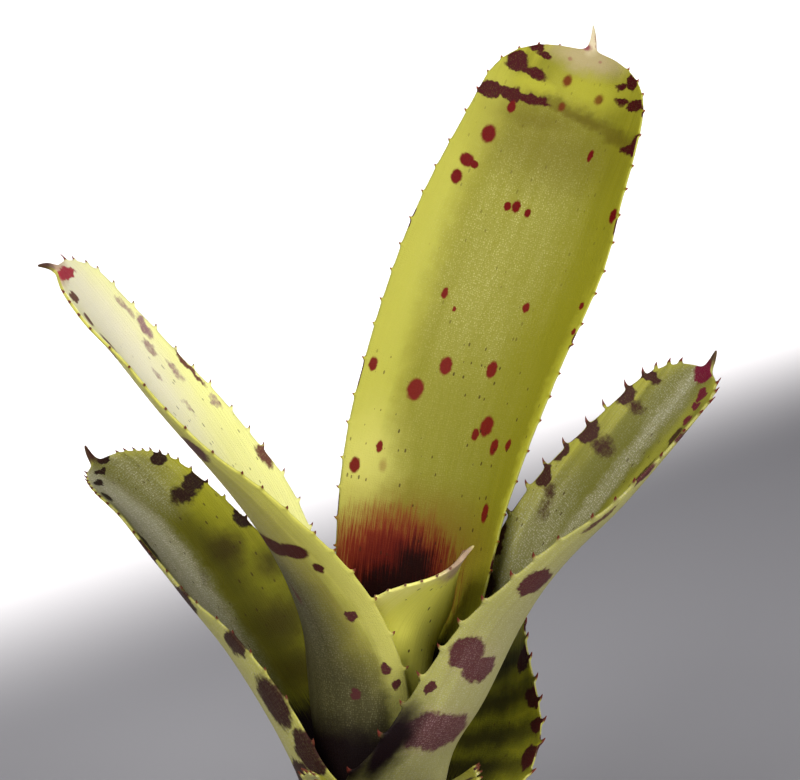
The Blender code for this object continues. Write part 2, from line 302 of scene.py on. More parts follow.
class Trace:
    """A leaf's midrib with the frame, width and curvature of its cross-sections, at even steps."""

    def __init__(self, form: LeafForm) -> None:
        """Traces the midrib out of the nest.

        Args:
            form: The leaf's shape.
        """
        self.form = form
        whole = form.length + form.point
        count = FINE_STEPS + 1
        self.s = np.linspace(0.0, whole, count)
        blade = (self.s - form.sheath) / (form.length - form.sheath)

        def along(values: tuple[float, ...]) -> np.ndarray:
            """Spreads a leaf's values over its blade."""
            return smoothed(np.interp(blade, np.linspace(0, 1, len(values)), values), SMOOTH_SPAN)

        leave = smoothstep((self.s - form.sheath * LEAVE_FROM)
                           / (form.sheath * LEAVE_SHARE + LEAVE_OVER))
        into_point = smoothstep((self.s - form.length + HOOK_FROM * form.point)
                                / ((1 + HOOK_FROM) * form.point))
        seat = math.radians(form.heading[0])
        heading = seat + leave * (np.radians(along(form.heading)) - seat)
        roll = leave * np.radians(along(form.roll))
        lean = np.radians(along(form.lean))
        lean += into_point * (math.radians(form.hook) - lean)
        cup = np.radians(along(form.cup))

        point = np.zeros((count, 3))
        radius = nest_radius(form.layer, form.foot) + BLADE_THICK / 2
        point[0] = radius * math.cos(seat), radius * math.sin(seat), form.foot
        leans = np.zeros(count)
        for i in range(count):
            nest = nest_lean(point[i, 2])
            leans[i] = nest + (lean[i] - nest) * leave[i]
            if i + 1 < count:
                out = math.sin(leans[i])
                point[i + 1] = point[i] + whole / FINE_STEPS * np.array(
                    (out * math.cos(heading[i]), out * math.sin(heading[i]), math.cos(leans[i])))
        self.point = point
        distance = np.hypot(point[:, 0], point[:, 1])
        clasp = 2 * math.radians(form.wrap) * distance
        belly = smoothstep((self.s - form.sheath * WIDEN_FROM)
                           / (form.sheath * WIDEN_SHARE + WIDEN_OVER))
        full = clasp + (along(form.width) - clasp) * belly
        self.leave = leave
        self.curvature = (1 - leave) / distance + leave * 2 * cup / full

        tilt = leans * smoothstep((self.s - form.sheath) / TILT_OVER)
        side = np.stack([np.sin(heading), -np.cos(heading), np.zeros(count)], axis=1)
        inward = np.stack([-np.cos(tilt) * np.cos(heading), -np.cos(tilt) * np.sin(heading),
                           np.sin(tilt)], axis=1)
        turn_c, turn_s = np.cos(roll)[:, None], np.sin(roll)[:, None]
        self.side = side * turn_c + inward * turn_s
        self.inward = inward * turn_c - side * turn_s

        x = np.clip((self.s - (form.length - form.tip)) / form.tip, 0.0, 1.0)
        y = (self.s - (form.length - POINT_REACH)) / (form.point + POINT_REACH)
        point_width = POINT_WIDTH * (1 - np.clip(y, 0.0, 1.0)) ** POINT_TAPER
        end = full * np.sqrt(np.clip(1 - x ** TIP_ROUNDING, 0.0, 1.0))
        self.width = np.maximum((end ** 3 + point_width ** 3) ** (1 / 3), LEAST_WIDTH)

        step = np.hypot(np.diff(self.s), np.diff(self.width) / 2)
        self.margin = np.concatenate([[0.0], np.cumsum(step)])

    def flat(self, s: np.ndarray, offset: np.ndarray) -> tuple[np.ndarray, np.ndarray]:
        """Wraps places of the flat leaf on its real surface.

        Args:
            s: Lengths along the midrib.
            offset: Distances out from it.

        Returns:
            Points of the middle surface and its upper normals, in millimetres from the axis.
        """

        def pick(field: np.ndarray) -> np.ndarray:
            """Reads a traced field at the lengths.

            Args:
                field: The field, with a number or three to each step.

            Returns:
                Its values at the lengths.
            """
            if field.ndim == 1:
                return np.interp(s, self.s, field)
            return np.stack([np.interp(s, self.s, field[:, k]) for k in range(3)], axis=-1)

        curvature, side, inward = pick(self.curvature), pick(self.side), pick(self.inward)
        angle = offset * curvature
        shift = np.sin(angle) / curvature
        rise = (1 - np.cos(angle)) / curvature
        where = pick(self.point) + side * shift[:, None] + inward * rise[:, None]
        normal = inward * np.cos(angle)[:, None] - side * np.sin(angle)[:, None]
        return where, normal


@dataclass
class Shader:
    """A node tree, with a short call for each kind of node that the plant uses.

    Attributes:
        tree: The node tree of a material or a group.
    """

    tree: NodeTree

    def node(self, kind: str, *inputs: Value, **settings: object) -> Node:
        """Adds a node.

        Args:
            kind: Its type's name, without the word ShaderNode.
            *inputs: Values or sockets for its inputs, from the first one on.
            **settings: Its properties.

        Returns:
            The node.
        """
        node = self.tree.nodes.new("ShaderNode" + kind)
        for name, setting in settings.items():
            setattr(node, name, setting)
        for socket, value in zip(node.inputs, inputs):
            self.feed(socket, value)
        return node

    def feed(self, socket: Socket, value: Value) -> None:
        """Sets a socket to a value, or links it to another socket.

        Args:
            socket: The socket.
            value: What it is given. A colour's fourth number is added.
        """
        if isinstance(value, Socket):
            self.tree.links.new(value, socket)
        elif isinstance(value, tuple) and len(value) == 3 and socket.type == "RGBA":
            socket.default_value = (*value, 1.0)
        else:
            socket.default_value = value

    def math(self, operation: str, *values: Number, clamp: bool = False) -> Socket:
        """Works out a number.

        Args:
            operation: The Math node's operation.
            *values: Its inputs, as numbers or sockets.
            clamp: Whether to keep the result between 0 and 1.

        Returns:
            The result's socket.
        """
        return self.node("Math", *values, operation=operation, use_clamp=clamp).outputs[0]

    def span(self, value: Number, low: Number, high: Number, to_low: Number = 0.0,
             to_high: Number = 1.0) -> Socket:
        """Eases a number from one span to another.

        Args:
            value: The number.
            low: Where the first span starts.
            high: Where it ends.
            to_low: Result at low and before it.
            to_high: Result at high and past it.

        Returns:
            The result's socket.
        """
        node = self.node("MapRange", value, low, high, to_low, to_high,
                         interpolation_type="SMOOTHSTEP")
        return node.outputs[0]

    def mix(self, factor: Number, first: Tint, second: Tint) -> Socket:
        """Mixes two colours.

        Args:
            factor: Share of the second.
            first: The first colour.
            second: The second colour.

        Returns:
            The mixed colour's socket.
        """
        node = self.node("Mix", factor, data_type="RGBA")
        self.feed(node.inputs[6], first)
        self.feed(node.inputs[7], second)
        return node.outputs[2]

    def vector(self, operation: str, *values: Value) -> Socket:
        """Works out a vector from others."""
        return self.node("VectorMath", *values, operation=operation).outputs[0]

    def length(self, vector: Socket) -> Socket:
        """Works out a vector's length."""
        return self.node("VectorMath", vector, operation="LENGTH").outputs["Value"]

    def sized(self, vector: Socket, factor: Number) -> Socket:
        """Makes a vector longer or shorter.

        Args:
            vector: The vector.
            factor: How many times as long it gets.

        Returns:
            The result's socket.
        """
        node = self.node("VectorMath", vector, operation="SCALE")
        self.feed(node.inputs["Scale"], factor)
        return node.outputs[0]

    def parts(self, vector: Socket) -> bpy_prop_collection:
        """Takes a vector apart, into the sockets of its X, Y and Z."""
        return self.node("SeparateXYZ", vector).outputs

    def cells(self, vector: Socket, randomness: float = 1.0) -> Node:
        """Adds a flat cell texture, with a cell to each unit of length.

        Args:
            vector: Where it is read.
            randomness: How far the cells stray from a grid.

        Returns:
            The texture's node.
        """
        node = self.node("TexVoronoi", vector, voronoi_dimensions="2D")
        node.inputs["Scale"].default_value = 1.0
        node.inputs["Randomness"].default_value = randomness
        return node

    def cell_tone(self, cells: Node) -> Socket:
        """Reads the number from 0 to 1 that each cell of a texture has of its own."""
        return self.node("SeparateColor", cells.outputs["Color"]).outputs[0]

    def relief(self, bsdf: Node, height: Number, strength: float, depth: float) -> None:
        """Gives a material its relief.

        Args:
            bsdf: The material's own shader node.
            height: The relief's height, where 1 is its whole depth.
            strength: How strongly it shows.
            depth: Its depth, in millimetres.
        """
        node = self.node("Bump")
        node.inputs["Strength"].default_value = strength
        node.inputs["Distance"].default_value = depth * MM
        self.feed(node.inputs["Height"], height)
        self.feed(bsdf.inputs["Normal"], node.outputs["Normal"])

    def noise(self, vector: Socket, scale: float = 1.0, detail: float = 2.0,
              roughness: float = 0.5) -> Node:
        """Adds a noise texture.

        Args:
            vector: Where it is read.
            scale: Its scale.
            detail: Its detail.
            roughness: Its roughness.

        Returns:
            The texture's node.
        """
        node = self.node("TexNoise", vector)
        node.inputs["Scale"].default_value = scale
        node.inputs["Detail"].default_value = detail
        node.inputs["Roughness"].default_value = roughness
        return node


def new_group(name: str, inputs: dict[str, tuple[str, object]], outputs: dict[str, str]
              ) -> tuple[Shader, bpy_prop_collection, bpy_prop_collection]:
    """Starts a shader node group.

    Args:
        name: The group's name.
        inputs: Each input's socket type and default.
        outputs: Each output's socket type.

    Returns:
        The group's shader, the sockets that it is given and the sockets of its results.
    """
    tree = bpy.data.node_groups.new(name, "ShaderNodeTree")
    for label, (kind, default) in inputs.items():
        socket = tree.interface.new_socket(label, in_out="INPUT", socket_type=kind)
        if default is not None:
            socket.default_value = default
    for label, kind in outputs.items():
        tree.interface.new_socket(label, in_out="OUTPUT", socket_type=kind)
    given = tree.nodes.new("NodeGroupInput").outputs
    return Shader(tree), given, tree.nodes.new("NodeGroupOutput").inputs


def new_material(name: str) -> tuple[Material, Node]:
    """Starts a material.

    Args:
        name: The material's name.

    Returns:
        The material and its shader node.
    """
    material = bpy.data.materials.new(name)
    material.use_nodes = True
    return material, material.node_tree.nodes["Principled BSDF"]


def select_only(piece: Object) -> None:
    """Selects one piece alone and makes it the active one.

    Args:
        piece: The piece.
    """
    bpy.ops.object.select_all(action="DESELECT")
    piece.select_set(True)
    bpy.context.view_layer.objects.active = piece


FLOAT, VECTOR = "NodeSocketFloat", "NodeSocketVector"


@dataclass(frozen=True)
class LeafTexture:
    """The fine textures that all the leaves have, with scales in cycles to a millimetre.

    A tuple of three numbers is along the leaf, across it, and not used.

    Attributes:
        scale_pitch: Distance between the absorbing scales, in millimetres.
        scale_spacing: How closely they stand, over that distance.
        scale_scatter: How far they stray from their rows, from 0 to 1.
        scale_edge: Distances from a scale's middle at which it starts to fade and is gone.
        scale_contrast: Power that sets light scales off from dull ones.
        drift_scale: Scale of the wandering of their rows.
        drift_reach: How far the rows wander, in millimetres.
        fine_ribs: Scales of the fine ribs.
        fine_span: Noise at which a fine rib starts, and at which it is full.
        broad_ribs: Scales of the broad ribs.
        broad_span: Noise at which a broad rib starts, and at which it is full.
        fleck_scale: Scales of the cells that flecks stand in.
        fleck_from: Tone above which a cell has a fleck.
        fleck_radius: Radius of the largest fleck, as a share of its cell.
    """

    scale_pitch: float = 0.30
    scale_spacing: Triple = (0.8, 1.0, 1.0)
    scale_scatter: float = 0.62
    scale_edge: Pair = (0.18, 0.46)
    scale_contrast: float = 1.2
    drift_scale: float = 0.25
    drift_reach: Triple = (1.2, 1.2, 0.0)
    fine_ribs: Triple = (0.05, 2.4, 1.0)
    fine_span: Pair = (0.32, 0.68)
    broad_ribs: Triple = (0.03, 0.45, 1.0)
    broad_span: Pair = (0.3, 0.7)
    fleck_scale: Triple = (0.36, 0.8, 1.0)
    fleck_from: float = 0.74
    fleck_radius: float = 0.13


class LeafEffects:
    """The node groups that every leaf's faces share."""

    def __init__(self, texture: LeafTexture) -> None:
        """Builds each group once.

        Args:
            texture: The fine textures' sizes.
        """
        self.texture = texture
        self.mark = self.build_mark()
        self.scales = self.build_scales()
        self.ribs = self.build_ribs()
        self.stray = self.build_stray()
        self.flecks = self.build_flecks()

    @staticmethod
    def build_mark() -> NodeTree:
        """Builds an oval mark, laid over the marks before it.

        Returns:
            The group.
        """
        shader, given, result = new_group("leaf mark", {
            "Place": (VECTOR, None), "Centre": (VECTOR, None), "Turn": (VECTOR, None),
            "Half size": (VECTOR, (1.0, 1.0, 1.0)), "Inner": (FLOAT, 0.8), "Outer": (FLOAT, 1.2),
            "Strength": (FLOAT, 1.0), "Below": (FLOAT, 0.0)}, {"Mask": FLOAT})
        put = shader.node("Mapping", vector_type="TEXTURE")
        for socket, label in (("Vector", "Place"), ("Location", "Centre"), ("Rotation", "Turn"),
                              ("Scale", "Half size")):
            shader.feed(put.inputs[socket], given[label])
        mask = shader.span(shader.length(put.outputs[0]), given["Inner"],
                           given["Outer"], given["Strength"], 0.0)
        shader.feed(result["Mask"], shader.math("MAXIMUM", mask, given["Below"]))
        return shader.tree

    def build_scales(self) -> NodeTree:
        """Builds the absorbing scales, which lie in rows along the leaf.

        Returns:
            The group.
        """
        texture = self.texture
        shader, given, result = new_group("leaf scales", {
            "Place": (VECTOR, None), "Size": (FLOAT, texture.scale_pitch)},
            {"Dots": FLOAT, "Light": FLOAT})
        drift = shader.noise(given["Place"], texture.drift_scale, detail=1.0)
        moved = shader.vector("MULTIPLY_ADD", drift.outputs["Color"], texture.drift_reach,
                              given["Place"])
        pitched = shader.sized(moved, shader.math("DIVIDE", 1.0, given["Size"]))
        cells = shader.cells(shader.vector("MULTIPLY", pitched, texture.scale_spacing),
                             texture.scale_scatter)
        dots = shader.span(cells.outputs["Distance"], *texture.scale_edge, 1.0, 0.0)
        tone = shader.math("POWER", shader.cell_tone(cells), texture.scale_contrast)
        shader.feed(result["Dots"], dots)
        shader.feed(result["Light"], shader.math("MULTIPLY", dots, tone))
        return shader.tree

    def build_ribs(self) -> NodeTree:
        """Builds the fine and the broad ribs along the leaf.

        Returns:
            The group.
        """
        texture = self.texture
        shader, given, result = new_group("leaf ribs", {
            "Place": (VECTOR, None)}, {"Fine": FLOAT, "Broad": FLOAT})
        place = given["Place"]
        fine = shader.noise(shader.vector("MULTIPLY", place, texture.fine_ribs),
                            detail=3.0, roughness=0.6)
        broad = shader.noise(shader.vector("MULTIPLY", place, texture.broad_ribs))
        shader.feed(result["Fine"], shader.span(fine.outputs["Fac"], *texture.fine_span))
        shader.feed(result["Broad"], shader.span(broad.outputs["Fac"], *texture.broad_span))
        return shader.tree

    @staticmethod
    def build_stray() -> NodeTree:
        """Builds places moved a little, so that marks get uneven outlines.

        Returns:
            The group.
        """
        shader, given, result = new_group("uneven place", {
            "Place": (VECTOR, None), "Reach": (FLOAT, 0.3), "Scale": (FLOAT, 1.0)},
            {"Place": VECTOR})
        noise = shader.noise(given["Place"])
        shader.feed(noise.inputs["Scale"], given["Scale"])
        centred = shader.vector("SUBTRACT", noise.outputs["Color"], (0.5, 0.5, 0.5))
        reach = shader.sized(centred, given["Reach"])
        flat = shader.vector("MULTIPLY", reach, (1.0, 1.0, 0.0))
        shader.feed(result["Place"], shader.vector("ADD", given["Place"], flat))
        return shader.tree

    def build_flecks(self) -> NodeTree:
        """Builds sparse dark flecks, longer than they are wide.

        Returns:
            The group.
        """
        texture = self.texture
        shader, given, result = new_group("leaf flecks", {"Place": (VECTOR, None)},
                                          {"Mask": FLOAT})
        cells = shader.cells(shader.vector("MULTIPLY", given["Place"],
                                           texture.fleck_scale))
        radius = shader.span(shader.cell_tone(cells), texture.fleck_from, 1.0, 0.0,
                             texture.fleck_radius)
        shader.feed(result["Mask"],
                    shader.math("LESS_THAN", cells.outputs["Distance"], radius))
        return shader.tree


@dataclass(frozen=True)
class Wear:
    """How noise wears away a mask.

    Attributes:
        depth: How far it moves the mask, from its least to its most.
        start: Worn mask at which the colour starts.
        full: Worn mask at which it is full.
        core: Unworn mask below which the colour fades out.
    """

    depth: float
    start: float
    full: float
    core: float


BLOTCH_WEAR = Wear(depth=0.6, start=0.25, full=0.78, core=0.35)
STREAK_WEAR = Wear(depth=1.2, start=0.2, full=0.85, core=0.4)
FRAY_SCALE = 1.5                   # scale of the noise that frays a blotch
STREAK_SCALE = (0.16, 3.6, 1.0)    # scales of the lines that a streak runs out in
SCALES_OVER_BLOTCH = 0.10          # how much the scales lighten a blotch
BLOOM_ON_SCALES = 0.78             # share of the bloom that lies on the scales alone
BLOOM_BETWEEN = 0.22               # share that lies between them as well
BLOOM_PATCHES = (0.5, 0.6)         # how far broad ribs thicken the bloom, and its least
MARGIN_FROM = 0.55                 # share of the half width at which the margin's colour starts
MARGIN_WANDER = 0.22               # how far it wanders along the ribs
VEIN_SHARE = 0.35                  # how strongly the veins colour the tissue
SPINE_FROM, SPINE_FULL = 0.05, 0.6   # share of a spine's length at which its colour starts, is full


@dataclass(frozen=True)
class LeafSkin:
    """What the surfaces of all the leaves have in common.

    Attributes:
        ior: Refractive index.
        rib_roughness: How much the fine ribs roughen it.
        bloom_roughness: How much a coat of scales roughens it.
        depth_weight: How strongly light goes through the tissue.
        depth: How far it goes, in millimetres.
        depth_colour: How far its red, green and blue go, as shares of that.
        rib_height: Height of the fine ribs in the relief, from 0 to 1.
        relief: Depth of the relief, in millimetres.
        relief_strength: How strongly it shows.
    """

    ior: float = 1.42
    rib_roughness: float = 0.08
    bloom_roughness: float = 0.25
    depth_weight: float = 0.12
    depth: float = 0.4
    depth_colour: Colour = (1.0, 0.9, 0.25)
    rib_height: float = 0.8
    relief: float = 0.06
    relief_strength: float = 0.55


class LeafFace:
    """One face of a leaf, painted in its finish."""

    def __init__(self, name: str, finish: FaceFinish, effects: LeafEffects) -> None:
        """Starts the face's material, with the places and textures that its colours need.

        Args:
            name: The material's name.
            finish: The face's finish.
            effects: The groups that the leaves share.
        """
        self.finish = finish
        self.effects = effects
        self.material, self.bsdf = new_material(name)
        self.shader = Shader(self.material.node_tree)
        self.place = self.carried("place")
        self.share = self.shader.parts(self.carried("share"))
        self.ribs = self.group(effects.ribs, Place=self.place)
        self.scales = self.group(effects.scales, Place=self.place)
        near = self.group(effects.stray, Place=self.place, Reach=0.5, Scale=1.6)
        self.near = near.outputs["Place"]
        far = self.group(effects.stray, Place=self.near, Reach=2.6, Scale=0.4)
        self.far = far.outputs["Place"]

    def carried(self, name: str) -> Socket:
        """Reads a vector that the leaf's mesh carries."""
        return self.shader.node("Attribute", attribute_name=name).outputs["Vector"]

    def dress(self) -> Material:
        """Lays the finish's colours on the tissue and sets the surface.

        Returns:
            The finished material.
        """
        shader = self.shader
        colour = self.tissue()
        bloom = 0.0
        for layer in self.finish.layers:
            mask = self.mask(layer)
            colour = shader.mix(mask, colour, layer.colour)
            if layer.grain is Grain.BLOOM:
                bloom = shader.math("MAXIMUM", bloom, mask)
        spine = shader.span(self.share[2], SPINE_FROM, SPINE_FULL)
        shader.feed(self.bsdf.inputs["Base Color"], shader.mix(spine, colour, self.finish.spine))
        self.finish_surface(LeafSkin(), bloom)
        return self.material

    def group(self, tree: NodeTree, **inputs: Value) -> Node:
        """Places a shared group.

        Args:
            tree: The group.
            **inputs: Values or sockets for its inputs, with _ for a space in a name.

        Returns:
            The group's node.
        """
        node = self.shader.node("Group")
        node.node_tree = tree
        for label, value in inputs.items():
            self.shader.feed(node.inputs[label.replace("_", " ")], value)
        return node

    def tissue(self) -> Socket:
        """Colours the bare blade, from its middle to its margins.

        Returns:
            The colour's socket.
        """
        shader = self.shader
        side = shader.math("ABSOLUTE", self.share[1])
        wander = shader.math("MULTIPLY_ADD", self.ribs.outputs["Broad"], MARGIN_WANDER,
                             -MARGIN_WANDER / 2)
        edge = shader.span(shader.math("ADD", side, wander), MARGIN_FROM, 1.0)
        colour = shader.mix(edge, self.finish.middle, self.finish.margin)
        vein = shader.math("MULTIPLY", self.ribs.outputs["Fine"], VEIN_SHARE)
        return shader.mix(vein, colour, self.finish.vein)

    def marks(self, layer: Layer, place: Socket) -> Number:
        """Lays a layer's marks over one another.

        Args:
            layer: The layer.
            place: Where its marks are read.

        Returns:
            The socket of their mask, or 0 without any.
        """
        below = 0.0
        for mark in layer.marks:
            soft = layer.soft if mark.soft is None else mark.soft
            share = layer.share if mark.share is None else mark.share
            node = self.group(
                self.effects.mark, Place=place, Centre=(mark.along, mark.across, 0.0),
                Turn=(0.0, 0.0, math.radians(mark.turn)), Half_size=(mark.long, mark.wide, 1.0),
                Inner=max(0.0, 1.0 - soft), Outer=1.0 + soft, Strength=share, Below=below)
            below = node.outputs["Mask"]
        return below

    def mask(self, layer: Layer) -> Number:
        """Works out where a layer shows.

        Args:
            layer: The layer.

        Returns:
            Its mask.
        """
        if layer.grain is Grain.SPOT:
            return self.marks(layer, self.near)
        mask = self.marks(layer, self.far)
        if layer.grain is Grain.BLOTCH:
            return self.blotch(mask)
        if layer.grain is Grain.STREAK:
            return self.streak(mask)
        if layer.grain is Grain.BLOOM:
            return self.bloom(mask)
        if layer.grain is Grain.FLECK:
            flecks = self.group(self.effects.flecks, Place=self.place)
            return self.shader.math("MULTIPLY", mask, flecks.outputs["Mask"])
        return mask

    def worn(self, mask: Number, noise: Socket, wear: Wear) -> Socket:
        """Wears a mask's edge away.

        Args:
            mask: The mask.
            noise: The noise that wears it.
            wear: How much.

        Returns:
            The worn mask's socket.
        """
        change = self.shader.math("MULTIPLY_ADD", noise, wear.depth, -wear.depth / 2)
        return self.shader.span(self.shader.math("ADD", mask, change), wear.start, wear.full)

    def blotch(self, mask: Number) -> Socket:
        """Frays a mask, and lets the scales show a little on it.

        Args:
            mask: The mask.

        Returns:
            The new mask's socket.
        """
        shader = self.shader
        fray = shader.noise(self.place, FRAY_SCALE, detail=3.0, roughness=0.65)
        whole = self.worn(mask, fray.outputs["Fac"], BLOTCH_WEAR)
        lit = shader.math("MULTIPLY", self.scales.outputs["Light"], SCALES_OVER_BLOTCH)
        kept = shader.math("MULTIPLY", whole, shader.math("SUBTRACT", 1.0, lit))
        return shader.math("MULTIPLY", kept, shader.span(mask, 0.0, BLOTCH_WEAR.core))

    def streak(self, mask: Number) -> Socket:
        """Draws a mask out in fine lines along the leaf.

        Args:
            mask: The mask.

        Returns:
            The new mask's socket.
        """
        shader = self.shader
        lines = shader.noise(shader.vector("MULTIPLY", self.place, STREAK_SCALE),
                             detail=3.0, roughness=0.65)
        whole = self.worn(mask, lines.outputs["Fac"], STREAK_WEAR)
        return shader.math("MULTIPLY", whole, shader.span(mask, 0.0, STREAK_WEAR.core))

    def bloom(self, mask: Number) -> Socket:
        """Makes a mask a coat of scales, thicker and thinner along the broad ribs.

        Args:
            mask: The mask.

        Returns:
            The new mask's socket.
        """
        shader = self.shader
        coat = shader.math("MULTIPLY_ADD", self.scales.outputs["Light"], BLOOM_ON_SCALES,
                           BLOOM_BETWEEN)
        patchy = shader.math("MULTIPLY_ADD", self.ribs.outputs["Broad"], *BLOOM_PATCHES)
        return shader.math("MULTIPLY", shader.math("MULTIPLY", mask, coat), patchy, clamp=True)

    def finish_surface(self, skin: LeafSkin, bloom: Number) -> None:
        """Sets the sheen, the depth and the relief.

        Args:
            skin: What all leaves' surfaces have in common.
            bloom: Where scales cover the face.
        """
        shader, finish, inputs = self.shader, self.finish, self.bsdf.inputs
        grain = shader.math("MULTIPLY", self.ribs.outputs["Fine"], skin.rib_roughness)
        rough = shader.math("MULTIPLY_ADD", bloom, skin.bloom_roughness, finish.roughness)
        shader.feed(inputs["Roughness"], shader.math("ADD", rough, grain))
        inputs["IOR"].default_value = skin.ior
        inputs["Specular IOR Level"].default_value = finish.gloss
        inputs["Subsurface Weight"].default_value = skin.depth_weight
        inputs["Subsurface Radius"].default_value = skin.depth_colour
        inputs["Subsurface Scale"].default_value = skin.depth * MM
        ribs = shader.math("MULTIPLY", self.ribs.outputs["Fine"], skin.rib_height)
        height = shader.math("MULTIPLY_ADD", self.scales.outputs["Dots"], finish.scales, ribs)
        shader.relief(self.bsdf, height, skin.relief_strength, skin.relief)


@dataclass
class Leaf:
    """One leaf: a flat grid with spines, wrapped on the leaf's surface and given its thickness.

    Attributes:
        name: The CAD node that it stands for.
        form: Its shape.
        spines: Its margins.
        upper: Finish of the face towards the heart.
        under: Finish of the outer face.
        seed: Seed of its own unevenness.
        trace: Its midrib.
        random: Its own random numbers.
    """

    name: str
    form: LeafForm
    spines: SpineRow
    upper: FaceFinish
    under: FaceFinish
    seed: int
    trace: Trace = field(init=False, repr=False)
    random: np.random.Generator = field(init=False, repr=False)

    def __post_init__(self) -> None:
        """Traces the midrib and starts the leaf's own unevenness."""
        self.trace = Trace(self.form)
        self.random = np.random.default_rng(self.seed)

    def build(self, effects: LeafEffects) -> Object:
        """Builds and dresses the leaf.

        Args:
            effects: The groups that the leaves share.

        Returns:
            The finished piece.
        """
        places, roots = self.margin_places()
        piece = self.flat_blade(places)
        self.raise_spines(piece, roots)
        self.wrap(piece)
        self.thicken(piece)
        piece.data.materials.append(LeafFace(self.name + "_under", self.under, effects).dress())
        piece.data.materials.append(LeafFace(self.name + "_upper", self.upper, effects).dress())
        self.apply(piece)
        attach(piece, "root")
        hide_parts(self.name)
        return piece

    def margin_places(self) -> tuple[np.ndarray, list[tuple[float, int]]]:
        """Divides the leaf along its margins.

        Returns:
            The rows' lengths along the midrib, and each spine's length along it with its side.
        """
        trace, form, row = self.trace, self.form, self.spines
        end = np.interp(form.length - SPINE_STOP, trace.s, trace.margin)
        start = np.interp(form.sheath * SPINE_START, trace.s, trace.margin)
        bend = np.interp(form.length - form.tip, trace.s, trace.margin)
        spines = []
        for side in (-1, 1):
            m = start + row.pitch * (0.5 if side > 0 else 1.0)
            while m < end:
                spines.append((m, side))
                near_tip = float(smoothstep((m - bend + CLOSE_FROM) / CLOSE_OVER))
                pitch = row.pitch + (row.tip_pitch - row.pitch) * near_tip
                m += pitch * self.random.uniform(*PITCH_SPREAD)
        fixed = [0.0, trace.margin[-1]]
        fixed += [m + row.base / 2 * k for m, _ in spines for k in (-1, 0, 1)]
        fixed = sorted(fixed)
        kept = [fixed[0]]
        for m in fixed[1:]:
            if m - kept[-1] > row.base * LEAST_ROW:
                kept.append(m)
        rows = []
        for low, high in zip(kept, kept[1:]):
            parts = max(1, math.ceil((high - low) / ROW_LENGTH))
            rows += [low + (high - low) * k / parts for k in range(parts)]
        rows.append(kept[-1])
        rows = np.interp(rows, trace.margin, trace.s)
        return rows, [(float(np.interp(m, trace.margin, trace.s)), side) for m, side in spines]

    def flat_blade(self, rows: np.ndarray) -> Object:
        """Lays the flat leaf out on a grid.

        Args:
            rows: Lengths along the midrib.

        Returns:
            The flat leaf, with lengths along X and distances from the midrib along Y.
        """
        bpy.ops.object.select_all(action="DESELECT")
        bpy.ops.mesh.primitive_grid_add(x_subdivisions=len(rows) - 1, y_subdivisions=COLUMNS,
                                        size=2.0, location=(0, 0, 0))
        piece = bpy.context.object
        piece.name = self.name + "_blade"
        mesh = piece.data
        co = np.empty(len(mesh.vertices) * 3, np.float32)
        mesh.vertices.foreach_get("co", co)
        co = co.reshape(-1, 3)
        index = np.rint((co[:, 0] + 1) / 2 * (len(rows) - 1)).astype(int)
        s = rows[index]
        half = np.interp(s, self.trace.s, self.trace.width) / 2
        co[:, 0] = s * MM
        co[:, 1] *= half * MM
        mesh.vertices.foreach_set("co", co.ravel())
        mesh.update()
        return piece

    def raise_spines(self, piece: Object, roots: list[tuple[float, int]]) -> None:
        """Draws the spines out of the margins, ring by ring, towards the leaf's tip.

        Args:
            piece: The flat leaf.
            roots: Each spine's length along the midrib, and its side.
        """
        row = self.spines
        bpy.ops.object.mode_set(mode="EDIT")
        bpy.ops.mesh.select_all(action="DESELECT")
        bm = bmesh.from_edit_mesh(piece.data)
        rim = {}
        for vert in bm.verts:
            if vert.is_boundary:
                side = 1 if vert.co.y > 0 else -1
                rim.setdefault(side, []).append(vert)
        for side in rim:
            rim[side].sort(key=lambda v: v.co.x)
        grown = []
        for s, side in roots:
            verts = rim[side]
            spot = min(range(len(verts)), key=lambda i: abs(verts[i].co.x - s * MM))
            if not 0 < spot < len(verts) - 1:
                continue
            trio = [verts[spot + k] for k in (-1, 0, 1)]
            along = (trio[2].co - trio[0].co).normalized()
            out = along.cross(Vector((0, 0, -side)))
            size = row.length * self.random.uniform(*SIZE_SPREAD)
            grown.append([trio, trio[1].co.copy(), along, out, size])
        for trio, _, _, out, _ in grown:
            lift = out * row.scallop * MM
            trio[1].co += lift
            trio[0].co += lift * SHOULDER
            trio[2].co += lift * SHOULDER
        for level in range(1, SPINE_LEVELS + 1):
            t = level / SPINE_LEVELS
            for trio, *_ in grown:
                for pair in ((trio[0], trio[1]), (trio[1], trio[2])):
                    bm.edges.get(pair).select = True
            bmesh.update_edit_mesh(piece.data)
            bpy.ops.mesh.extrude_edges_move()
            bm = bmesh.from_edit_mesh(piece.data)
            fresh = [v for v in bm.verts if v.select]
            ends = self.match(grown, fresh)
            for spine, trio in zip(grown, ends):
                _, root, along, out, size = spine
                spread = row.base / 2 * (1 - t) ** SPINE_TAPER * MM + SPINE_TIP * MM
                centre = (root + out * (row.scallop + size * t) * MM
                          + along * size * row.sweep * t * t * MM)
                for vert, k in zip(trio, (-1, 0, 1)):
                    vert.co = centre + along * spread * k
                spine[0] = trio
            bpy.ops.mesh.select_all(action="DESELECT")
        bmesh.update_edit_mesh(piece.data)
        bpy.ops.object.mode_set(mode="OBJECT")

    @staticmethod
    def match(grown: list[list], fresh: list[bmesh.types.BMVert]) -> list[list[bmesh.types.BMVert]]:
        """Finds each spine's new ring among the vertices just drawn out.

        Args:
            grown: The spines, each with its last ring first.
            fresh: The new vertices, still in the old ones' places.

        Returns:
            Each spine's new ring, in its order.
        """

        def spot(vert: bmesh.types.BMVert) -> tuple[int, ...]:
            """Rounds a vertex's place."""
            return tuple(round(c * MATCH_PER_METRE) for c in vert.co)

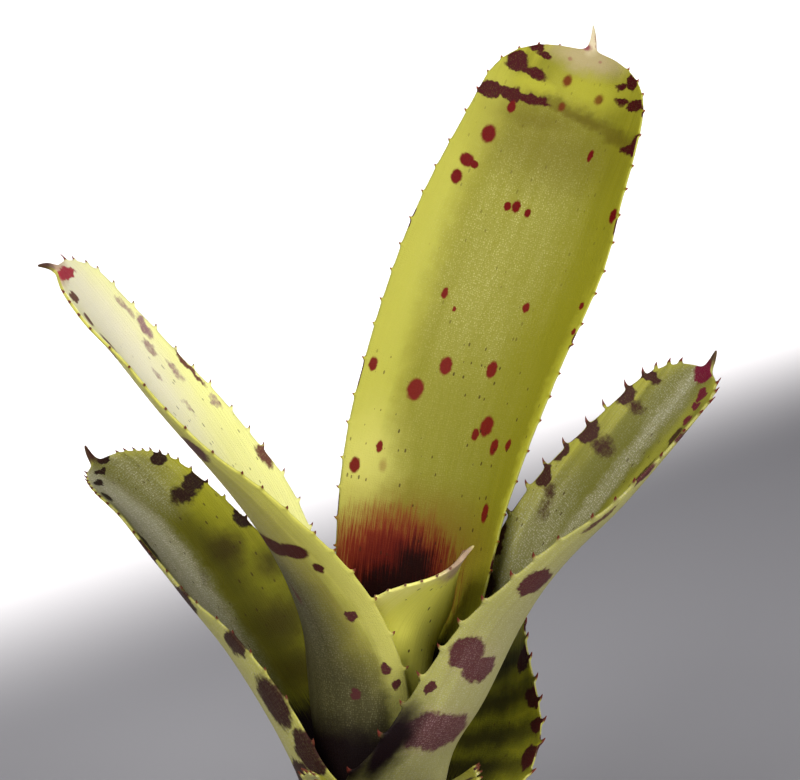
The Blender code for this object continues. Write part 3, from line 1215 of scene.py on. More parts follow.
        table = {}
        for vert in fresh:
            table.setdefault(spot(vert), vert)
        return [[table[spot(vert)] for vert in spine[0]] for spine in grown]

    def wrap(self, piece: Object) -> None:
        """Wraps the flat leaf on its surface, and keeps each point's place on the leaf.

        Args:
            piece: The flat leaf.
        """
        mesh = piece.data
        trace, form = self.trace, self.form
        co = np.empty(len(mesh.vertices) * 3, np.float32)
        mesh.vertices.foreach_get("co", co)
        flat = co.reshape(-1, 3).astype(float) / MM
        s, offset = flat[:, 0], flat[:, 1]
        half = np.interp(s, trace.s, trace.width) / 2
        spine = np.clip((np.abs(offset) - half - self.spines.scallop) / self.spines.length, 0, 1)
        where, normal = trace.flat(s, offset)
        side = np.clip(np.abs(offset) / np.maximum(half, 1.0), 0, 1)
        where = where + normal * self.unevenness(s, offset, side)[:, None] + np.array(AXIS_AT)
        mesh.vertices.foreach_set("co", (where * MM).astype(np.float32).ravel())

        shares = np.stack([s / form.length, np.clip(offset / half, -1, 1), spine], 1)
        for name, values in (("place", np.stack([s, offset, s * 0], 1)), ("share", shares)):
            carried = mesh.attributes.new(name, "FLOAT_VECTOR", "POINT")
            carried.data.foreach_set("vector", values.astype(np.float32).ravel())

        thin = np.clip((s - form.length) / form.point, 0, 1)
        thick = EDGE_THICK + (BLADE_THICK - EDGE_THICK) * (1 - side ** 2)
        thick = thick + (SPINE_THICK - thick) * np.maximum(spine, thin * POINT_THINNING)
        group = piece.vertex_groups.new(name="thickness")
        for i, weight in enumerate(thick / BLADE_THICK):
            group.add([i], float(weight), "REPLACE")
        mesh.update()

    def unevenness(self, s: np.ndarray, offset: np.ndarray, side: np.ndarray) -> np.ndarray:
        """Works out how far the blade swells and its margins ripple.

        Args:
            s: Lengths along the midrib.
            offset: Distances out from it.
            side: The same as shares of the half width, without a sign.

        Returns:
            Heights over the blade's smooth surface, in millimetres.
        """
        phase = self.random.uniform(0, 2 * math.pi, len(RIPPLES) + 1)
        ripple = sum(np.sin(s / long + phase[k] + (k + 1) * np.sign(offset)) * share
                     for k, (long, share) in enumerate(RIPPLES))
        swell = np.sin(s / SWELL_LONG + phase[2]) * np.sin(offset / SWELL_WIDE + phase[1])
        leave = np.interp(s, self.trace.s, self.trace.leave)
        fade = leave * np.clip((self.form.length - s) / CALM_END, 0, 1)
        return fade * (self.spines.wave * ripple * side ** 3 + SWELL_HEIGHT * swell)

    def thicken(self, piece: Object) -> None:
        """Gives the blade its thickness and rounds it, with one material to each face.

        Args:
            piece: The wrapped leaf.
        """
        shell = piece.modifiers.new("blade", "SOLIDIFY")
        shell.thickness = BLADE_THICK * MM
        shell.offset = 0.0
        shell.vertex_group = "thickness"
        shell.material_offset = 1
        round_off = piece.modifiers.new("round", "SUBSURF")
        round_off.levels = 1
        round_off.render_levels = 1

    @staticmethod
    def apply(piece: Object) -> None:
        """Applies the piece's modifiers and shades it smooth.

        Args:
            piece: The leaf.
        """
        select_only(piece)
        for modifier in list(piece.modifiers):
            bpy.ops.object.modifier_apply(modifier=modifier.name)
        piece.vertex_groups.clear()
        bpy.ops.object.shade_smooth()


# Colours that several leaves share.
BLOOM_GREY = (0.56, 0.53, 0.38)
MAROON = (0.052, 0.003, 0.005)
SPOT_RED = (0.125, 0.003, 0.002)
# Near-black purple of the sheaths' feet, deepened with painted shade where they sit low in the nest.
FOOT_PURPLE_AND_SHADE = (0.008, 0.003, 0.004)
FLECK_BROWN = (0.04, 0.014, 0.005)


def dark_point(along: float, long: float, share: float) -> Layer:
    """Darkens the narrow point at a leaf's end.

    Args:
        along: Distance of the point's middle from the leaf's foot.
        long: Half of its length.
        share: How much of the dark colour it carries.

    Returns:
        The layer.
    """
    return Layer((0.05, 0.012, 0.010), share=share, marks=(Mark(along, 0, long, 2),))


TALL_UPPER = FaceFinish(
    middle=(0.225, 0.212, 0.016), margin=(0.37, 0.35, 0.028), vein=(0.19, 0.178, 0.01),
    spine=(0.22, 0.05, 0.02), roughness=0.42, gloss=0.1, scales=0.8,
    layers=(
        Layer((0.43, 0.41, 0.062), soft=0.6, share=0.9, marks=(
            Mark(78, -15.5, 62, 5, turn=-1), Mark(118, -13, 10, 3.5, share=0.7))),
        Layer((0.6, 0.56, 0.14), soft=0.8, share=0.65, marks=(Mark(57, -12.5, 8, 5),)),
        Layer((0.22, 0.205, 0.009), soft=0.7, share=0.85, marks=(
            Mark(86, 13.5, 44, 6.5, soft=0.6), Mark(104, -9, 4, 3, share=0.35),
            Mark(96, -9, 3, 2, share=0.3))),
        Layer((0.44, 0.42, 0.035), soft=0.5, share=0.7, marks=(Mark(60, 17, 30, 1.6),)),
        Layer((0.6, 0.56, 0.22), Grain.BLOOM, soft=0.5, share=0.56, marks=(
            Mark(99, -1, 26, 10.5), Mark(70, 0, 24, 11, share=0.22))),
        # Painted shade: an olive-brown band across the tip, with a fainter dark patch below it, where
        # the tip would bend back away from the light.
        Layer((0.11, 0.084, 0.006), soft=0.8, share=0.6, marks=(
            Mark(121, -4, 2.6, 8, turn=-8, soft=0.9), Mark(117, 0, 6, 11, soft=0.95, share=0.5),
            Mark(124, 2.5, 1.4, 7.5, turn=10, share=0.85),
            Mark(121.6, 11, 1.5, 5.5, turn=14, share=0.8))),
        Layer((0.42, 0.4, 0.035), soft=0.7, share=0.7, marks=(
            Mark(129, 3, 3.2, 6.5), Mark(126.8, -6.5, 1.4, 5, turn=-12))),
        # Pale cream tip: partly its own colour, partly painted light where the bent-back tip would
        # face up to the lamps.
        Layer((0.44, 0.35, 0.18), soft=0.7, share=0.85, marks=(
            Mark(134.6, 0.2, 2.6, 6.6),)),
        Layer((0.66, 0.56, 0.36), marks=(Mark(138.5, 0, 3, 2),)),
        Layer((0.24, 0.04, 0.06), Grain.SPOT, soft=0.5, share=0.8, marks=(
            Mark(136.4, -0.8, 0.6, 0.8, soft=0.6, share=0.9), Mark(136.9, 1.1, 0.5, 0.5),
            Mark(138.6, 0.7, 1, 0.35), Mark(134.4, 2.4, 0.3, 0.3, share=0.5),
            Mark(133.4, -2.8, 0.3, 0.4, share=0.5))),
        Layer((0.19, 0.105, 0.012), soft=0.8, share=0.75, marks=(Mark(47, -1, 7, 13),)),
        Layer((0.23, 0.03, 0.01), Grain.STREAK, soft=0.8, marks=(Mark(41, -6, 10, 12.5),)),
        Layer((0.11, 0.008, 0.004), Grain.STREAK, soft=0.8, share=0.95, marks=(
            Mark(40, -3, 9, 10.5),)),
        # Near-black foot of the red base: partly the red deepening, partly painted shade deep in the
        # channel and in the gap beside the heart leaf.
        Layer((0.012, 0.001, 0.001), Grain.STREAK, soft=0.7, marks=(
            Mark(36, -4, 7, 9), Mark(25, 9, 6.5, 9, soft=0.6), Mark(41, -1.5, 6, 4.5, share=0.85))),
        Layer(MAROON, Grain.BLOTCH, soft=0.5, marks=(
            Mark(122.4, -13.8, 1.7, 2.8, turn=-12, soft=0.3),
            Mark(123.4, -10.2, 1.4, 2.8, turn=-12, soft=0.4),
            Mark(124.1, -6.2, 1, 3.4, turn=-10, soft=0.6, share=0.9),
            Mark(129.2, -11.4, 1.9, 2.4, turn=-12, soft=0.3), Mark(128.7, -8, 1.1, 2.6, share=0.85),
            Mark(133.2, -9.2, 1.3, 1.6, soft=0.35), Mark(132.3, -7.2, 0.8, 1.4, share=0.8),
            Mark(131.8, 10.2, 1.4, 1.6, soft=0.35), Mark(130.8, 7.9, 0.8, 1.3, share=0.8),
            Mark(127.6, 12.6, 1.3, 2, soft=0.35), Mark(128.1, 9.4, 0.8, 1.6, share=0.8),
            Mark(120.6, 16.2, 2.2, 1.8, soft=0.3), Mark(119.6, 14.2, 1.1, 1.6, share=0.8))),
        Layer(SPOT_RED, Grain.SPOT, soft=0.2, marks=(
            Mark(121.5, -9, 1.1, 0.75), Mark(115.5, -10.9, 1.65, 1.3), Mark(109.8, -12.6, 1.25, 1.3),
            Mark(109.6, -11.1, 0.7, 0.75), Mark(106.5, -13.2, 1.35, 0.95), Mark(105.2, -3.2, 0.9, 0.6),
            Mark(105.6, -1.8, 1.1, 0.75), Mark(105.2, 0.4, 0.85, 0.5), Mark(117.8, 7.2, 1.05, 0.5),
            Mark(107.8, 16, 1.3, 0.7), Mark(129.5, -1.8, 1.1, 0.7, soft=0.4, share=0.9),
            Mark(127.8, 4.8, 0.9, 0.8, soft=0.5, share=0.8),
            Mark(124.8, -1, 0.8, 0.6, soft=0.5, share=0.8))),
        Layer((0.15, 0.01, 0.005), Grain.SPOT, soft=0.2, marks=(
            Mark(87.5, -7.8, 0.95, 0.6), Mark(85.5, -5.4, 0.45, 0.3), Mark(89, 6.3, 1, 0.6),
            Mark(91.2, 16.2, 0.8, 0.45), Mark(86.2, 16.9, 0.7, 0.45), Mark(76, -3.6, 1.6, 1.05),
            Mark(77.2, 4.3, 1.55, 0.9), Mark(71, -7.4, 1.85, 1.4), Mark(72.8, -15.4, 1.1, 0.75),
            Mark(67.5, 6.7, 1.85, 1.2), Mark(65.8, 5, 1.1, 0.7), Mark(64.2, 9.4, 1.4, 0.75),
            Mark(64.8, 12.2, 1, 0.55), Mark(60.8, -10.8, 0.95, 0.55), Mark(57.2, -14.2, 1.2, 0.9),
            Mark(53, 11.2, 1.6, 0.7), Mark(58, -9.6, 0.9, 0.6, soft=0.6, share=0.4))),
        Layer(FLECK_BROWN, Grain.FLECK, share=0.8, marks=(
            Mark(60, 0, 26, 18), Mark(110, 0, 24, 18, share=0.35))),
    ))

TALL_UNDER = FaceFinish(
    middle=(0.34, 0.34, 0.06), margin=(0.44, 0.43, 0.06), vein=(0.24, 0.25, 0.03),
    spine=(0.22, 0.05, 0.02), roughness=0.5, scales=1.0,
    layers=(
        Layer(BLOOM_GREY, Grain.BLOOM, share=0.75, marks=(Mark(70, 0, 66, 15),)),
        Layer((0.5, 0.4, 0.22), soft=0.6, share=0.8, marks=(Mark(135, 0, 4.5, 6),)),
        Layer(MAROON, Grain.BLOTCH, marks=(
            Mark(127, 11, 1.4, 4.5, turn=10), Mark(122, -13, 1.7, 4.2), Mark(119, 3, 1, 2.2, soft=0.6),
            Mark(111, -9, 1.5, 3, turn=-14, soft=0.5), Mark(106, 14, 2, 4),
            Mark(97, -15, 2.2, 4.2, turn=-8), Mark(94, 4, 1.2, 1.8, soft=0.6),
            Mark(85, 14, 2.4, 4.4, turn=10), Mark(79, -5, 1.4, 2.6, soft=0.6), Mark(71, -15, 2.6, 4.6),
            Mark(65, 10, 2.4, 4.6, turn=12, soft=0.5), Mark(58, -2, 1.2, 1.6, soft=0.6),
            Mark(51, -12, 3, 5.5, turn=-10), Mark(45, 11, 2.8, 5), Mark(39, -1, 1.8, 3.2, soft=0.6))),
        Layer(FOOT_PURPLE_AND_SHADE, Grain.STREAK, soft=0.45, marks=(Mark(14, 0, 20, 26),)),
    ))

LEFT_UPPER_UPPER = FaceFinish(
    # The pale yellow-green is partly the leaf's own colour and partly painted light, raised to stand
    # in for light shining through it from behind.
    middle=(0.82, 0.8, 0.33), margin=(0.83, 0.82, 0.3), vein=(0.7, 0.68, 0.24),
    spine=(0.16, 0.03, 0.02), roughness=0.42, scales=0.6,
    layers=(
        Layer((0.86, 0.8, 0.62), soft=0.7, share=0.8, marks=(Mark(96, 0, 22, 8),)),
        Layer((0.86, 0.82, 0.66), Grain.BLOOM, soft=0.5, share=0.7, marks=(Mark(82, -3, 32, 7),)),
        Layer((0.46, 0.26, 0.17), soft=0.7, share=0.8, marks=(Mark(110.6, -1, 2, 4),)),
        Layer((0.3, 0.17, 0.17), Grain.BLOTCH, soft=0.6, share=0.6, marks=(
            Mark(88.6, -8, 3.6, 2, share=0.9), Mark(97, 9, 2.6, 0.9),
            Mark(92.5, 9.5, 2.4, 1, share=0.75), Mark(89.8, 7.5, 1.8, 1, share=0.65),
            Mark(86.2, 4, 1.8, 0.8, share=0.55), Mark(84, 8.6, 2.4, 0.9),
            Mark(79, 5, 2.2, 0.8, share=0.5), Mark(72, -1, 3, 1.4, soft=0.7, share=0.5),
            Mark(76, 11.5, 1.8, 0.8))),
        Layer((0.14, 0.05, 0.035), Grain.BLOTCH, soft=0.5, share=0.95, marks=(
            Mark(63, 13.8, 2.4, 1.3, share=0.85), Mark(82.5, 11.8, 4, 0.7, share=0.8),
            Mark(97.2, -8.4, 2.8, 2), Mark(106.2, -4.4, 1, 2.2, turn=25, soft=0.4),
            Mark(102.6, -7, 1.2, 1.7, turn=20, share=0.9))),
        Layer((0.36, 0.03, 0.05), Grain.BLOTCH, soft=0.5, marks=(Mark(108.6, 0.8, 1, 3.8, turn=25),)),
        dark_point(113.4, 2.4, 0.95),
        Layer((0.03, 0.006, 0.008), Grain.STREAK, soft=0.5, marks=(Mark(16, 0, 22, 26),)),
        Layer(FLECK_BROWN, Grain.FLECK, share=0.6, marks=(Mark(62, 0, 30, 16),)),
    ))

LEFT_UPPER_UNDER = FaceFinish(
    middle=(0.4, 0.36, 0.06), margin=(0.62, 0.59, 0.1), vein=(0.28, 0.25, 0.03),
    spine=(0.16, 0.03, 0.02), roughness=0.45, scales=1.0,
    layers=(
        Layer((0.17, 0.135, 0.012), soft=0.6, share=0.8, marks=(Mark(44, 4, 12, 9),)),
        Layer((0.022, 0.018, 0.006), share=0.95, marks=(
            Mark(20, 2, 20, 20), Mark(37, 2, 20, 11, soft=0.6, share=0.93))),
        Layer((0.54, 0.51, 0.12), soft=0.6, share=0.75, marks=(
            Mark(38, -14.2, 18, 2.2),)),
        Layer((0.38, 0.35, 0.17), Grain.BLOOM, soft=0.5, share=0.38, marks=(Mark(29, 0, 15, 17),)),
        Layer(FOOT_PURPLE_AND_SHADE, share=0.97, marks=(Mark(13.5, -4, 9.5, 26),)),
        Layer(BLOOM_GREY, Grain.BLOOM, soft=0.5, share=0.5, marks=(Mark(78, 0, 34, 12),)),
        Layer((0.06, 0.01, 0.006), Grain.SPOT, soft=0.15, marks=(
            Mark(55.2, -4.2, 1.9, 4.6, turn=-12), Mark(54, -9.2, 1.6, 3, turn=-12),
            Mark(50.2, -11.4, 1, 0.9, soft=0.2))),
        Layer((0.08, 0.02, 0.02), Grain.BLOTCH, soft=0.5, marks=(
            Mark(45.2, -1.6, 2.2, 0.6, turn=10, soft=0.6, share=0.7),
            Mark(41.2, -10.9, 0.9, 0.8, soft=0.4), Mark(32.5, -12.4, 1, 0.9, soft=0.4),
            Mark(29.6, -13.6, 0.9, 0.7, soft=0.4), Mark(28.2, -7.1, 1.1, 0.8),
            Mark(97.2, -8, 2.4, 2.4, share=0.9), Mark(103, 3, 1.2, 2.8, turn=14, share=0.8),
            Mark(90, 1, 1.3, 2, soft=0.6, share=0.7), Mark(83, 11, 2.6, 2.4, share=0.9),
            Mark(76, -9, 2.6, 3, turn=-10, share=0.9), Mark(71, 2, 1.4, 2, soft=0.6, share=0.7),
            Mark(65, 11, 2.6, 3.8, turn=10, share=0.9))),
        dark_point(113.4, 2.4, 0.95),
    ))

LEFT_LOWER_UPPER = FaceFinish(
    middle=(0.15, 0.142, 0.008), margin=(0.36, 0.34, 0.02), vein=(0.09, 0.084, 0.004),
    spine=(0.12, 0.03, 0.015), roughness=0.45, scales=0.8,
    layers=(
        Layer((0.27, 0.26, 0.01), soft=0.6, share=0.75, marks=(
            Mark(46, 12, 14, 4.5, turn=-4), Mark(62, 9, 9, 3, turn=-6, share=0.8))),
        Layer((0.05, 0.042, 0.002), soft=0.9, share=0.7, marks=(
            Mark(54, 6, 10, 3.5, turn=-6), Mark(40, 5, 8, 4, share=0.6))),
        Layer((0.03, 0.016, 0.002), soft=0.9, share=0.75, marks=(
            Mark(55.8, 8.2, 2.8, 3.2, share=0.8), Mark(50.2, 13.2, 2.6, 2.6), Mark(41, 10, 4, 4.5),
            Mark(32, 8, 3.5, 5, soft=0.8, share=0.6))),
        Layer((0.36, 0.34, 0.2), soft=0.5, share=0.8, marks=(
            Mark(62, -5.5, 23, 5, turn=-5), Mark(42, -7.5, 15, 6, turn=-5, share=0.7))),
        Layer((0.74, 0.7, 0.54), Grain.BLOOM, soft=0.5, marks=(
            Mark(62, -5.5, 24, 5.5, turn=-5), Mark(42, -7, 16, 7, turn=-5, share=0.95),
            Mark(74, 3, 8, 7, share=0.45))),
        Layer((0.02, 0.006, 0.003), Grain.BLOTCH, marks=(
            Mark(79.6, 1.6, 0.9, 1.8), Mark(78.2, -1.8, 0.7, 2), Mark(76.2, -5.8, 0.8, 1.8),
            Mark(72.8, -8.4, 1.6, 1.6), Mark(73.8, 9.8, 1.2, 1.6), Mark(67.4, 11.6, 1.7, 3, turn=8),
            Mark(66.8, 8, 1.8, 2.8, soft=0.7, share=0.85),
            Mark(58.6, 13.6, 1.8, 1.6, share=0.85), Mark(53, 0.5, 2.4, 1.8, soft=0.8, share=0.4),
            Mark(60.5, -11, 3.4, 2, share=0.9), Mark(49, -13.5, 2.4, 1.8, share=0.9))),
        dark_point(82.6, 2.6, 0.95),
        Layer(FOOT_PURPLE_AND_SHADE, Grain.STREAK, marks=(Mark(13, 0, 14, 30),)),
        Layer(FLECK_BROWN, Grain.FLECK, share=0.7, marks=(Mark(52, 0, 26, 16),)),
    ))

LEFT_LOWER_UNDER = FaceFinish(
    middle=(0.42, 0.39, 0.1), margin=(0.44, 0.42, 0.06), vein=(0.3, 0.28, 0.05),
    spine=(0.12, 0.03, 0.015), roughness=0.5, scales=1.0,
    layers=(
        Layer(BLOOM_GREY, Grain.BLOOM, share=0.75, marks=(Mark(34, 0, 44, 22),)),
        Layer((0.035, 0.01, 0.006), Grain.BLOTCH, soft=0.5, marks=(
            Mark(71, -7, 1.6, 3.2, turn=-12), Mark(68, 8.5, 2, 3.6, soft=0.4),
            Mark(62, 1, 1.2, 2, soft=0.6), Mark(59.5, -12.6, 3, 3, soft=0.35),
            Mark(48.5, -13.2, 3, 3.2, soft=0.4), Mark(36.6, -17.2, 2.4, 2.8),
            Mark(27, -17.2, 3.4, 3.6, turn=15), Mark(17.5, -13, 2.4, 5.4, turn=10, soft=0.35),
            Mark(54, 12, 3, 3.8, turn=12, soft=0.4), Mark(47, 3, 1.4, 2.4, soft=0.6),
            Mark(41, 15, 3, 4, soft=0.4), Mark(37, -3, 2, 4, turn=-10),
            Mark(29, 12, 2.6, 5, turn=10, soft=0.4), Mark(22, 1, 2.2, 5),
            Mark(21, -19.4, 2.2, 3.2, soft=0.35))),
        dark_point(82.6, 2.6, 0.95),
        Layer(FOOT_PURPLE_AND_SHADE, Grain.STREAK, soft=0.6, marks=(Mark(5, 0, 10, 34),)),
    ))

RIGHT_UPPER = FaceFinish(
    middle=(0.18, 0.172, 0.02), margin=(0.38, 0.36, 0.04), vein=(0.12, 0.115, 0.01),
    spine=(0.14, 0.025, 0.015), roughness=0.45, scales=0.8,
    layers=(
        Layer((0.14, 0.135, 0.01), soft=0.7, share=0.7, marks=(
            Mark(72, -5.5, 20, 1.8, turn=2),)),
        Layer((0.4, 0.385, 0.05), soft=0.6, share=0.85, marks=(Mark(68, 5, 26, 3),)),
        Layer((0.66, 0.62, 0.5), Grain.BLOOM, soft=0.6, marks=(Mark(68, -1.6, 28, 1.9, turn=1),)),
        Layer(BLOOM_GREY, Grain.BLOOM, soft=0.5, marks=(
            Mark(50, -9, 16, 6), Mark(76, -7, 14, 4, soft=0.6, share=0.2),
            Mark(87, -2, 8, 5, share=0.5))),
        Layer((0.05, 0.014, 0.01), Grain.BLOTCH, marks=(
            Mark(88, -8.6, 1.1, 2.4), Mark(83, -10.2, 1.9, 2.2, turn=-10),
            Mark(82.4, -7.2, 1.5, 2.4, soft=0.8, share=0.7), Mark(74.6, -11.6, 2.4, 2),
            Mark(74, -7.6, 2, 3, soft=0.8, share=0.7), Mark(69, -12.8, 2.4, 0.8, soft=0.5),
            Mark(63.8, -13.2, 2, 1.6), Mark(62.6, -10.8, 1.8, 1.6, soft=0.7, share=0.65),
            Mark(59.6, -9.6, 2.8, 1.6, soft=0.8, share=0.55), Mark(50.8, -15, 2.8, 1.6),
            Mark(43, -14.4, 4, 2.8, soft=0.6, share=0.85),
            Mark(52, -4, 2.2, 1, soft=0.7, share=0.4), Mark(82.6, 7.4, 1.9, 2.4),
            Mark(75, 5.4, 3.2, 1.2, soft=0.5, share=0.8),
            Mark(65.4, 5, 4.4, 1.1, soft=0.5, share=0.75))),
        Layer((0.16, 0.008, 0.03), Grain.BLOTCH, marks=(
            Mark(93.4, 0, 2.2, 2.2), Mark(90.4, 4, 0.9, 1.6), Mark(88.6, 5, 0.9, 1.6),
            Mark(85.8, 6.4, 1, 1.5))),
        dark_point(97.4, 2.2, 0.9),
        Layer((0.01, 0.004, 0.003), Grain.STREAK, soft=0.45, marks=(Mark(18, 0, 22, 30),)),
        Layer(FLECK_BROWN, Grain.FLECK, share=0.7, marks=(Mark(58, 0, 30, 16),)),
    ))

RIGHT_UNDER = FaceFinish(
    middle=(0.3, 0.28, 0.085), margin=(0.38, 0.365, 0.07), vein=(0.24, 0.225, 0.06),
    spine=(0.14, 0.025, 0.015), roughness=0.5, scales=1.0,
    layers=(
        Layer((0.52, 0.48, 0.34), Grain.BLOOM, share=0.6, marks=(Mark(44, 2, 48, 20),)),
        Layer((0.075, 0.018, 0.018), Grain.BLOTCH, marks=(
            Mark(52.8, 10.6, 2.4, 3.4, turn=20, soft=0.35),
            Mark(83.4, 9.8, 1.6, 1.4, soft=0.5, share=0.8),
            Mark(75.6, 11.4, 2.8, 1, soft=0.5, share=0.8),
            Mark(66.4, 11.8, 3.6, 1, soft=0.5, share=0.7), Mark(38.4, 12.8, 2.8, 3.4, turn=10),
            Mark(36, 8.6, 2.4, 3.6), Mark(24.6, 9.6, 3.2, 7), Mark(31.2, 15.6, 0.9, 1.2),
            Mark(86, -4.5, 1.6, 3.4, turn=-8), Mark(79, 1, 1.2, 2, soft=0.6), Mark(72, -9, 2.4, 3.8),
            Mark(66, 0, 1.8, 3.2, turn=10, soft=0.6), Mark(57, -12, 2.6, 4.2),
            Mark(48, -3, 2, 4.2, turn=-12, soft=0.5), Mark(40, -15, 2.8, 4.4),
            Mark(33, -4, 2, 4, soft=0.5))),
        Layer((0.4, 0.24, 0.24), Grain.BLOOM, soft=0.5, share=0.6, marks=(
            Mark(24.6, 9.6, 3.6, 8), Mark(37.5, 10.5, 3.6, 5, share=0.3))),
        dark_point(97.4, 2.2, 0.9),
        # The two marks on the sheath's left are painted shadow where the left upper leaf overhangs it,
        # over the dark sheath colour. The third darkens the foot.
        Layer(FOOT_PURPLE_AND_SHADE, soft=0.5, marks=(
            Mark(20, 24, 8, 8), Mark(22, 17, 7, 3.4, soft=0.6), Mark(5, 0, 7, 34))),
    ))

HEART_UNDER = FaceFinish(
    # The pale yellow-green is partly the leaf's own colour and partly painted light, raised to stand
    # in for light shining through the leaf.
    middle=(0.84, 0.8, 0.13), margin=(0.86, 0.8, 0.24), vein=(0.72, 0.68, 0.09),
    spine=(0.2, 0.08, 0.05), roughness=0.28, gloss=0.5, scales=0.35,
    layers=(
        Layer((0.36, 0.24, 0.17), soft=0.5, share=0.95, marks=(Mark(49.5, 0, 3.8, 6),)),
        Layer((0.12, 0.03, 0.02), Grain.BLOTCH, soft=0.5, share=0.8, marks=(
            Mark(50.2, -2.5, 1.4, 1.8), Mark(46.8, -6, 1, 1.4, share=0.7))),
        # Painted shade: a darker wash over the facet that turns away from the light.
        Layer((0.3, 0.27, 0.02), soft=0.6, share=0.8, marks=(Mark(34, -8.5, 12, 3),)),
        Layer(FLECK_BROWN, Grain.FLECK, soft=0.3, share=0.85, marks=(Mark(36, 0, 14, 10),)),
        Layer(FOOT_PURPLE_AND_SHADE, marks=(Mark(8, 0, 12, 30),)),
    ))

HEART_UPPER = FaceFinish(
    middle=(0.42, 0.4, 0.06), margin=(0.56, 0.53, 0.1), vein=(0.34, 0.32, 0.04),
    spine=(0.2, 0.08, 0.05), roughness=0.32, scales=0.35,
    # The upper face takes the same layers, the painted shade wash among them.
    layers=HEART_UNDER.layers)

FRONT_UPPER = FaceFinish(
    middle=(0.2, 0.19, 0.02), margin=(0.36, 0.34, 0.03), vein=(0.13, 0.125, 0.012),
    spine=(0.12, 0.03, 0.015), roughness=0.45, scales=0.8,
    layers=(
        Layer(BLOOM_GREY, Grain.BLOOM, soft=0.5, share=0.7, marks=(Mark(44, 0, 24, 9),)),
        Layer((0.04, 0.01, 0.008), Grain.BLOTCH, marks=(
            Mark(60, 6, 1.4, 3), Mark(57, -7, 1.5, 3.2), Mark(51, 9, 1.8, 3.4), Mark(45, -8, 2, 4.4),
            Mark(38, 8, 2.2, 5, soft=0.45), Mark(31, -7, 2.2, 5.4, soft=0.45),
            Mark(50, -1, 1, 1, soft=0.2), Mark(41, 1, 1.2, 0.9, soft=0.2))),
        dark_point(67.6, 2.4, 0.9),
        Layer(FOOT_PURPLE_AND_SHADE, Grain.STREAK, soft=0.5, marks=(Mark(10, 0, 16, 24),)),
        Layer(FLECK_BROWN, Grain.FLECK, share=0.7, marks=(Mark(42, 0, 24, 14),)),
    ))

FRONT_UNDER = FaceFinish(
    middle=(0.34, 0.32, 0.08), margin=(0.42, 0.4, 0.06), vein=(0.24, 0.23, 0.05),
    spine=(0.12, 0.03, 0.015), roughness=0.5, scales=1.0,
    layers=(
        Layer(BLOOM_GREY, Grain.BLOOM, share=0.75, marks=(Mark(32, 0, 36, 18),)),
        Layer((0.05, 0.013, 0.014), Grain.BLOTCH, marks=(
            Mark(59.5, -6.5, 1.4, 3), Mark(57, 6, 1.4, 3.2, turn=10, soft=0.5),
            Mark(49, -9, 2.2, 4, turn=-8), Mark(47, 8, 1.6, 3, soft=0.5),
            Mark(40, 1, 1.4, 2.6, soft=0.6), Mark(36, -11.5, 2.4, 4), Mark(33, 11, 2.6, 4.4, turn=12),
            Mark(25, -5, 2.2, 5, soft=0.5), Mark(20, 12, 2.4, 5), Mark(14, -6, 2, 7, soft=0.5))),
        dark_point(67.6, 2.4, 0.9),
        Layer(FOOT_PURPLE_AND_SHADE, Grain.STREAK, soft=0.6, marks=(Mark(2, 0, 8, 34),)),
    ))

BACK_UPPER = FaceFinish(
    middle=(0.14, 0.136, 0.006), margin=(0.3, 0.29, 0.016), vein=(0.1, 0.098, 0.005),
    spine=(0.12, 0.02, 0.012), roughness=0.45, scales=0.4,
    layers=(
        Layer((0.3, 0.29, 0.012), soft=0.6, share=0.7, marks=(Mark(28, 13, 20, 3),)),
        Layer((0.018, 0.014, 0.002), soft=0.8, share=0.85, marks=(
            Mark(46, 4, 1.8, 9, turn=-6, share=0.8), Mark(38.6, 5, 2, 12, turn=-6),
            Mark(31.4, 5, 2.1, 14, turn=-6), Mark(25, 5, 2.1, 15, turn=-6),
            Mark(19.4, 5, 1.8, 16, turn=-6))),
        Layer((0.045, 0.005, 0.004), Grain.BLOTCH, marks=(
            Mark(45.2, 9.6, 1.4, 1.6), Mark(38, 13, 1.9, 2), Mark(31, 14.8, 1.7, 1.8),
            Mark(26.5, 16, 1.2, 1.4), Mark(21.6, 16.8, 1.8, 1.8), Mark(44, -10, 1.8, 3),
            Mark(35, -13, 1.8, 3))),
        dark_point(58.6, 2.4, 0.9),
        Layer(FOOT_PURPLE_AND_SHADE, Grain.STREAK, soft=0.5, marks=(Mark(6, 0, 12, 30),)),
        Layer(FLECK_BROWN, Grain.FLECK, share=0.6, marks=(Mark(34, 4, 18, 16),)),
    ))

BACK_UNDER = FaceFinish(
    middle=(0.34, 0.32, 0.08), margin=(0.42, 0.4, 0.06), vein=(0.24, 0.23, 0.05),
    spine=(0.12, 0.02, 0.012), roughness=0.5, scales=1.0,
    layers=(
        Layer(BLOOM_GREY, Grain.BLOOM, share=0.75, marks=(Mark(28, 0, 34, 20),)),
        Layer((0.05, 0.013, 0.014), Grain.BLOTCH, marks=(
            Mark(52, -6, 1.4, 3.4, turn=-10), Mark(50, 6, 1.2, 2.4, soft=0.5), Mark(45, 11, 2.2, 3.6),
            Mark(42, -2, 1.6, 3.4, turn=8, soft=0.5), Mark(37, -13, 2.4, 4.2),
            Mark(34, 8, 2.2, 4.6, turn=10, soft=0.5), Mark(28, -3, 1.6, 3.2, soft=0.6),
            Mark(26, -15, 2.2, 4), Mark(23, 14, 2.6, 4.6), Mark(17, -7, 2.4, 6, turn=-8, soft=0.5),
            Mark(13, 9, 2, 5, soft=0.5))),
        dark_point(58.6, 2.4, 0.9),
        Layer(FOOT_PURPLE_AND_SHADE, Grain.STREAK, soft=0.6, marks=(Mark(2, 0, 8, 34),)),
    ))

